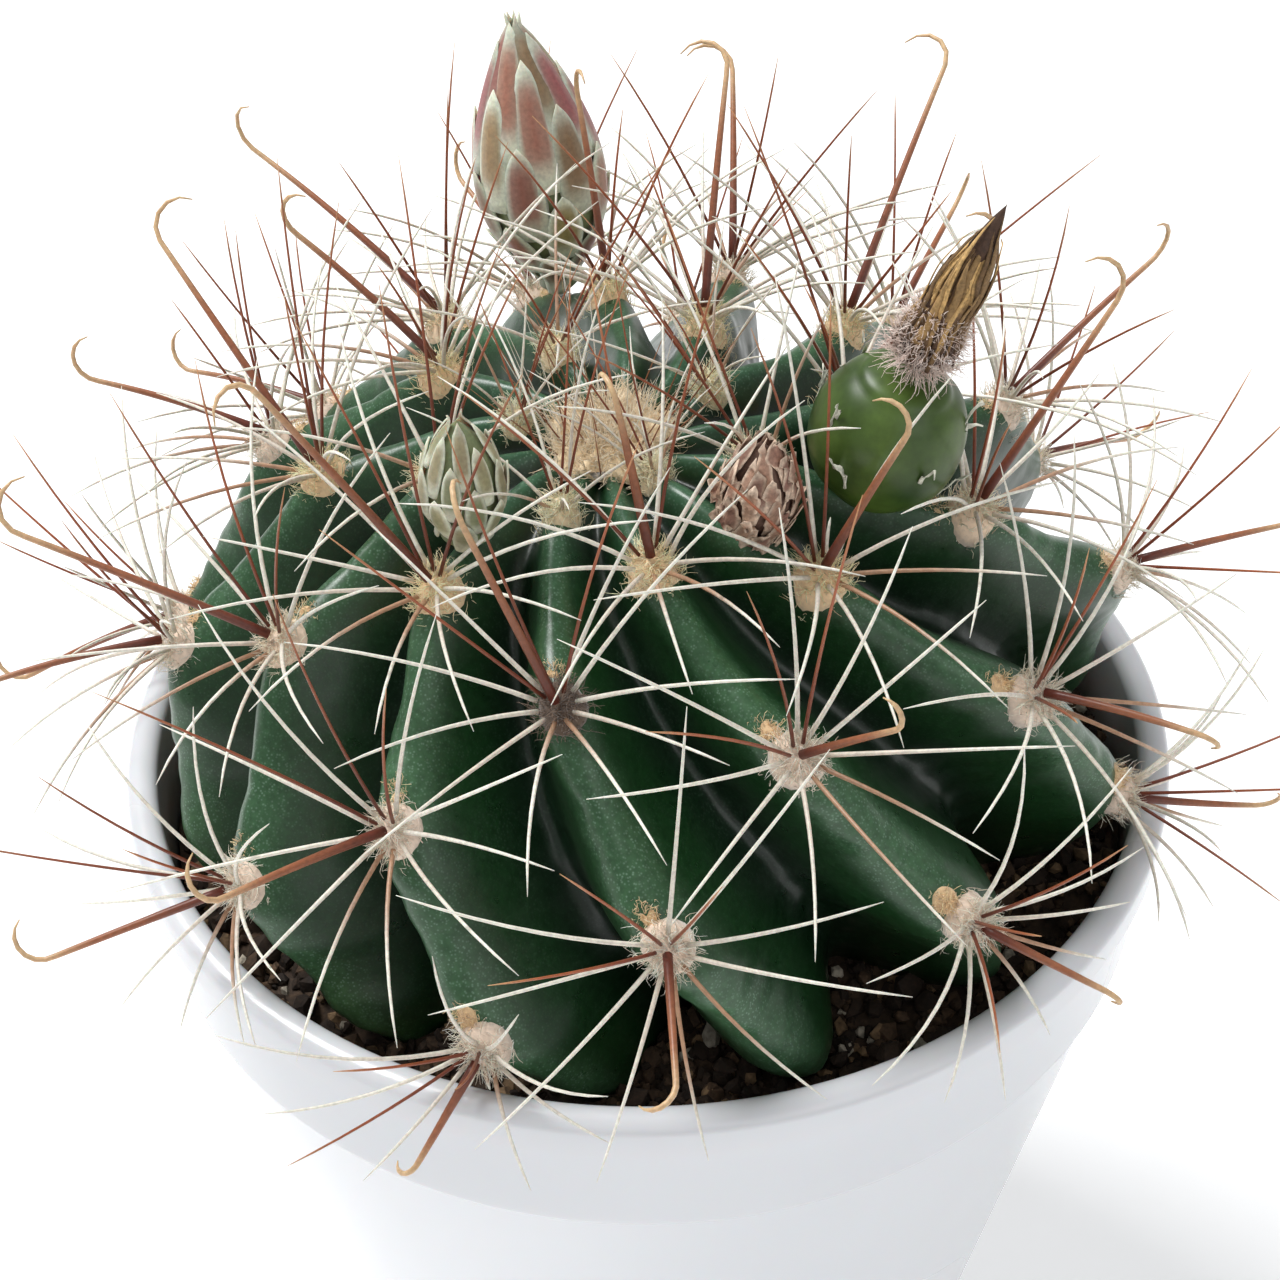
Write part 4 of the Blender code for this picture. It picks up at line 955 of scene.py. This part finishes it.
def segment_gap(a0, a1, b0, b1):
    """Least distance between each segment a (k,3) and each segment b (m,3), as (k,m)."""
    u = (a1 - a0)[:, None]
    v = (b1 - b0)[None]
    w = a0[:, None] - b0[None]
    uu, vv, uv = (u * u).sum(-1), (v * v).sum(-1), (u * v).sum(-1)
    uw, vw = (u * w).sum(-1), (v * w).sum(-1)
    cross = np.maximum(uu * vv - uv * uv, 1e-18)
    s = np.clip((uv * vw - vv * uw) / cross, 0, 1)
    t = np.clip((uv * s + vw) / vv, 0, 1)
    s = np.clip((uv * t - uw) / uu, 0, 1)
    return np.linalg.norm(w + s[..., None] * u - t[..., None] * v, axis=-1)


class Space:
    """Segments already placed, each with a half width and the areole it belongs to."""

    def __init__(self):
        self.starts = np.zeros((0, 3))
        self.ends = np.zeros((0, 3))
        self.widths = np.zeros(0)
        self.owners = np.zeros(0, int)

    def add(self, points, widths, owner):
        """Take in a chain of points as segments, each as wide as its wider end."""
        self.starts = np.concatenate([self.starts, points[:-1]])
        self.ends = np.concatenate([self.ends, points[1:]])
        self.widths = np.concatenate([self.widths, np.maximum(widths[:-1], widths[1:])])
        self.owners = np.concatenate([self.owners, np.full(len(points) - 1, owner)])

    def clear(self, points, widths, owner):
        """Whether a spine keeps its distance from all that is placed."""
        gaps = segment_gap(points[:-1], points[1:], self.starts, self.ends)
        own = np.maximum(widths[:-1], widths[1:])[:, None]
        spare = np.where(self.owners == owner, OWN_SPACING, NEIGHBOUR_SPACING)[None]
        return bool((gaps - own - self.widths[None] - spare).min() > 0)


def free_of_pot_and_stem(points, widths):
    """Whether points beyond a spine's root stay off the stem, the soil and the pot."""
    beyond = np.linalg.norm(points - points[0], axis=1) > ROOT_ZONE
    points, widths = points[beyond], widths[beyond]
    margin = widths + BODY_SPACING
    if (stem_distance(points) < margin).any():
        return False
    flat = np.hypot(points[:, 0], points[:, 1])
    level_with_pot = points[:, 2] < POT_HEIGHT + margin
    in_wall = (flat > MOUTH_RADIUS - RIM_SPACING - margin) & (flat < POT_RIM_RADIUS + margin)
    in_soil = (points[:, 2] < SOIL_TOP + margin) & (flat < POT_RIM_RADIUS)
    return not (level_with_pot & in_wall).any() and not in_soil.any()


def direction(frame, around, lift):
    """Unit vector at an angle round the areole (0 is +side, 90 up the rib), lifted off the stem."""
    _, side, up, out = frame
    around = math.radians(around)
    lift = math.radians(lift)
    flat = math.cos(around) * side + math.sin(around) * up
    return math.cos(lift) * flat + math.sin(lift) * out


TRIES = [entry[1:] for entry in sorted(
    (abs(swing) + abs(lift) + 90 * (1 - share), swing, lift, share)
    for share in (1.0, 0.85, 0.7, 0.55, 0.4, 0.25, 0.15)
    for lift in (0, 5, -5, 10, 17, 25, 35)
    for swing in (0, 5, -5, 10, -10, 16, -16))]


def place_spine(space, frame, wanted, owner):
    """Settle one spine where it clears everything placed before it."""
    here, side, up, out = frame
    base = here + out * (GAP + 0.1 * MM)
    reach, turn = wanted["reach"], math.radians(wanted["around_root"])
    root = base + reach * (math.cos(turn) * side + math.sin(turn) * up) + out * wanted["rise"]
    for swing, lift, share in TRIES:
        along = direction(frame, wanted["around"] + swing, min(wanted["lift"] + lift, 88))
        bow = unit(out - along * (out @ along)) * wanted["bend"]
        bow = bow + unit(np.cross(along, out)) * wanted["sway"]
        curl = direction(frame, wanted["curl"], 0)
        curl = unit(curl - along * (curl @ along))
        spine = dict(wanted, root=root, along=along, bow=bow, curl=curl,
                     length=wanted["length"] * share)
        stops = spine_stops(spine)
        points = spine_path(spine, stops)
        widths = spine_radius(spine, stops)
        if not space.clear(points, widths, owner):
            continue
        fine = np.linspace(0, 1, 24)
        chords = np.stack([np.interp(fine, stops, points[:, axis]) for axis in range(3)], -1)
        if free_of_pot_and_stem(chords, spine_radius(spine, fine)):
            break
    space.add(points, widths, owner)
    return spine


def wanted_spines(n):
    """Spines of areole n before they are settled, the hooked one first."""
    rng = np.random.default_rng(n)
    age = float(smooth((n - YOUNGEST) / (MATURE - YOUNGEST)))
    pad = pad_radius(n)
    slim = pad / PAD_RADIUS
    crowded = RIM_SHORTENING * float(smooth((n - 33) / 10))
    found = []
    if n >= MATURE:
        swing, lift, length, roll = CENTRAL_LEAN.get(n, OTHER_LEAN)
        found.append({"kind": "central", "around": swing - 90, "lift": lift, "length": length * MM,
                      "width": CENTRAL_WIDTH, "reach": 0.0, "around_root": 0.0,
                      "rise": 0.9 * PAD_HEIGHT, "bend": 0.02, "sway": 0.0, "curl": 90 - roll,
                      "hooked": True, "hook_radius": HOOK_RADIUS * min(1, length / 18)})
    for spread_angle in (40, 90, 140):
        length = UPRIGHT_LENGTH * (0.72 + 0.28 * age) * (1 - 0.6 * crowded) * rng.uniform(0.8, 1.08)
        found.append({"kind": "upright", "around": spread_angle + rng.uniform(-8, 8),
                      "lift": 72 - 18 * age + rng.uniform(-6, 6), "length": length,
                      "width": UPRIGHT_WIDTH * slim, "reach": 0.42 * pad,
                      "around_root": spread_angle, "rise": 0.75 * PAD_HEIGHT, "bend": 0.02,
                      "sway": rng.uniform(-0.02, 0.02), "curl": 90, "hooked": False})
    count = RADIALS if n >= MATURE else YOUNG_RADIALS
    for step in range(count):
        around = 124 + 292 * step / (count - 1)
        low = 0.5 - 0.5 * math.sin(math.radians(around))
        length = RADIAL_LENGTH * (0.62 + 0.38 * age) * (1.1 - 0.2 * low) * rng.uniform(0.86, 1.08)
        length *= 1 - crowded * (0.25 + 0.75 * low)
        found.append({"kind": "radial", "around": around + rng.uniform(-6, 6),
                      "lift": 48 - 26 * age + rng.uniform(-5, 7), "length": length,
                      "width": RADIAL_WIDTH * slim, "reach": 0.69 * pad, "around_root": around,
                      "rise": 0.5 * PAD_HEIGHT, "bend": RADIAL_BEND,
                      "sway": rng.uniform(-0.03, 0.03), "curl": 90, "hooked": False})
    return found


def chain_of(body):
    """A bud as a chain of fat segments, for the spines to keep clear of."""
    fine = np.linspace(0, body.length, 12)
    radii = np.interp(fine, body.shares[:, 0] * body.length, body.shares[:, 1] * body.radius)
    return body.base + body.axis * fine[:, None], radii + 0.2 * MM


numbers = list(range(YOUNGEST, OLDEST + 1))
space = Space()
for body in (flower_bud, green_bud, dried_bud, fruit, dried_flower):
    space.add(*chain_of(body), -1)
frames = {n: areole_frame(n) for n in numbers}
wanted = {n: wanted_spines(n) for n in numbers}
settled = {n: [] for n in numbers}
for kind in ("central", "upright", "radial"):
    for n in numbers:
        settled[n] += [place_spine(space, frames[n], spine, n)
                       for spine in wanted[n] if spine["kind"] == kind]


def wool_tint(n):
    """Cream wool on young areoles, tan on grown ones, greyish pink on the oldest."""
    tint = mix(CREAM_WOOL, (0.97, 0.7, 0.43), smooth((n - 9) / 8))
    tint = mix(tint, (0.92, 0.74, 0.6), smooth((n - 21) / 7))
    return mix(tint, (0.1, 0.062, 0.046), 0.92 if n == DARK_AREOLE else 0)


def spine_tints(spine, t, seed):
    """Colour along a spine: centrals go from red to tan, uprights red-brown, radials ivory."""
    rng = np.random.default_rng(seed)
    if spine["kind"] == "central":
        return mix(mix((0.12, 0.024, 0.014), (0.33, 0.12, 0.055), smooth(t / 0.5)),
                   (0.68, 0.47, 0.26), smooth((t - 0.5) / 0.35))
    if spine["kind"] == "upright":
        return mix(mix((0.15, 0.034, 0.016), (0.33, 0.1, 0.04), smooth(t / 0.7)),
                   (0.56, 0.32, 0.16), smooth((t - 0.75) / 0.25)) * rng.uniform(0.8, 1.25)
    low = smooth((-math.sin(math.radians(spine["around_root"])) - 0.55) / 0.4)
    browned = (0.75 * low + 0.1) * smooth((rng.uniform(0.45, 0.95) - t) / 0.45)
    return mix(np.array(IVORY) * rng.uniform(0.88, 1.08), (0.38, 0.17, 0.065), browned)


def felt_pad(n, frame, centre, radius, height, tint):
    """Dome of felt on the stem: height * sqrt(1 - q^2) over the tangent plane, dented by noise."""
    here, side, up, out = frame
    q, angle = np.meshgrid(np.linspace(0.04, 1, PAD_RINGS)[::-1],
                           np.arange(PAD_SIDES) * 2 * math.pi / PAD_SIDES, indexing="ij")
    u = radius * q * np.cos(angle)
    v = centre + 1.1 * radius * q * np.sin(angle)
    level = here + u[..., None] * side + v[..., None] * up
    for _ in range(3):
        level = level - stem_distance(level)[..., None] * out
    dome = height * np.sqrt(np.maximum(0, 1 - q * q)) - 0.15 * MM
    points = level + (dome + 0.12 * MM * ripple(level, 1.2 * MM, n) * (1 - q))[..., None] * out
    return points, tube_faces(1, PAD_RINGS, PAD_SIDES), np.asarray(tint, float) * 0.92


def felt_hairs(frame, pad, centre, count, reach, tint, seed):
    """Curly hairs over a pad, leaning outward more towards its edge."""
    rng = np.random.default_rng(seed)
    _, side, up, out = frame
    pick = rng.integers(0, PAD_RINGS - 1, count), rng.integers(0, PAD_SIDES, count)
    root = pad[pick] + rng.normal(size=(count, 3)) * 0.08 * MM
    away = root - (frame[0] + centre * up)
    away = unit(away - (away @ out)[:, None] * out)
    edge = (PAD_RINGS - 1 - pick[0])[:, None] / (PAD_RINGS - 1)
    heading = unit(out * (0.35 + 0.6 * edge) + away * (1.15 - edge)
                   + rng.normal(size=(count, 3)) * 0.45)
    tints = np.asarray(tint, float) * rng.uniform(0.95, 1.5, (count, 1))
    return strands(root, heading, rng.uniform(0.4, 1.0, count) * reach,
                   rng.normal(size=(count, 3)) * 0.2 * MM, 0.042 * MM, np.minimum(tints, 0.96))


for n in numbers:
    tint = wool_tint(n)
    pad = felt_pad(n, frames[n], 0.0, pad_radius(n), 1.25 * PAD_HEIGHT, tint)
    parts = [pad, felt_hairs(frames[n], pad[0], 0.0, PAD_HAIRS, 1.75 * MM, tint, 100 + n)]
    if n >= SCARRED:
        centre = pad_radius(n) + SCAR_ABOVE
        scar = felt_pad(n, frames[n], centre, SCAR_RADIUS, SCAR_HEIGHT, SCAR_TINT)
        parts += [scar, felt_hairs(frames[n], scar[0], centre, SCAR_HAIRS, 0.8 * MM, SCAR_TINT,
                                   200 + n)]
    felt_arrays = sum(len(part[1]) for part in parts)
    for hooked, rings, sides in ((True, 22, 8), (False, 9, 7)):
        spines = [spine for spine in settled[n] if spine["hooked"] == hooked]
        if not spines:
            continue
        t = np.linspace(0, 1, rings) ** (0.85 if hooked else 1.15)
        paths = np.stack([spine_path(spine, t) for spine in spines])
        widths = np.stack([spine_radius(spine, t) * SLENDER[spine["kind"]] for spine in spines])
        plane = np.stack([unit(np.cross(spine["along"], spine["curl" if hooked else "bow"]))
                          for spine in spines])
        tints = np.stack([spine_tints(spine, t, 1000 * n + index)
                          for index, spine in enumerate(spines)])
        parts.append(spine_tube(paths, widths, plane, tints, sides))
    add_piece("areole_%02d_cluster" % n, merge(*parts), [felt, spine_wood],
              ["areole_%02d" % n], second_from=felt_arrays)

# ---------------------------------------------------------------- floor, light and camera
# A plain pale floor, a wide soft light above and behind, a fill in front, and the camera.

floor_mesh = bpy.data.meshes.new("floor")
floor_mesh.from_pydata([(-3, -3, 0), (3, -3, 0), (3, 3, 0), (-3, 3, 0)], [], [(0, 1, 2, 3)])
floor = bpy.data.objects.new("floor", floor_mesh)
bpy.context.scene.collection.objects.link(floor)
floor_paint = bpy.data.materials.new("floor_paint")
floor_paint.use_nodes = True
shader = floor_paint.node_tree.nodes["Principled BSDF"]
shader.inputs["Base Color"].default_value = (0.9, 0.9, 0.9, 1)
shader.inputs["Roughness"].default_value = 0.8
shader.inputs["Emission Color"].default_value = (1, 1, 1, 1)
shader.inputs["Emission Strength"].default_value = 0.3
floor_mesh.materials.append(floor_paint)

world = bpy.data.worlds.new("studio")
bpy.context.scene.world = world
world.use_nodes = True
world.node_tree.nodes["Background"].inputs["Color"].default_value = (0.96, 0.98, 1.0, 1)
world.node_tree.nodes["Background"].inputs["Strength"].default_value = 0.4


def soft_light(name, place, target, size, power):
    """Square area light that faces a point."""
    lamp = bpy.data.lights.new(name, "AREA")
    lamp.shape = "SQUARE"
    lamp.size = size
    lamp.energy = power
    made = bpy.data.objects.new(name, lamp)
    away = unit(np.array(place) - np.array(target))
    side = unit(np.cross((0, 0, 1.0) if abs(away[2]) < 0.99 else (0, 1.0, 0), away))
    turn = np.eye(4)
    turn[:3, 0], turn[:3, 1], turn[:3, 2], turn[:3, 3] = side, np.cross(away, side), away, place
    made.matrix_world = Matrix(turn.tolist())
    bpy.context.scene.collection.objects.link(made)


soft_light("key", place=(-0.4, 0.3, 0.92), target=(0, 0, 0.09), size=0.4, power=9.4)
soft_light("fill", place=(0.6, -0.8, 0.7), target=(0, 0, 0.08), size=0.9, power=2.5)
bpy.context.scene.view_settings.view_transform = "Standard"

CAMERA_ELEVATION = math.radians(40.4)
CAMERA_ROLL = math.radians(-1.46)
CAMERA_TARGET = np.array([-0.36 * MM, 0, 88.3 * MM])
CAMERA_DISTANCE = 197.4 * MM
CAMERA_LENS = 65.4
back = np.array([0, -math.cos(CAMERA_ELEVATION), math.sin(CAMERA_ELEVATION)])
right = np.array([1.0, 0, 0])
above = np.cross(back, right)
camera_axes = np.eye(4)
camera_axes[:3, 0] = math.cos(CAMERA_ROLL) * right + math.sin(CAMERA_ROLL) * above
camera_axes[:3, 1] = -math.sin(CAMERA_ROLL) * right + math.cos(CAMERA_ROLL) * above
camera_axes[:3, 2] = back
camera_axes[:3, 3] = CAMERA_TARGET + back * CAMERA_DISTANCE
camera_data = bpy.data.cameras.new("camera")
camera_data.lens = CAMERA_LENS
camera_data.sensor_width = 36
camera_data.clip_start = 0.01
camera = bpy.data.objects.new("camera", camera_data)
camera.matrix_world = Matrix(camera_axes.tolist())
bpy.context.scene.collection.objects.link(camera)
bpy.context.scene.camera = camera
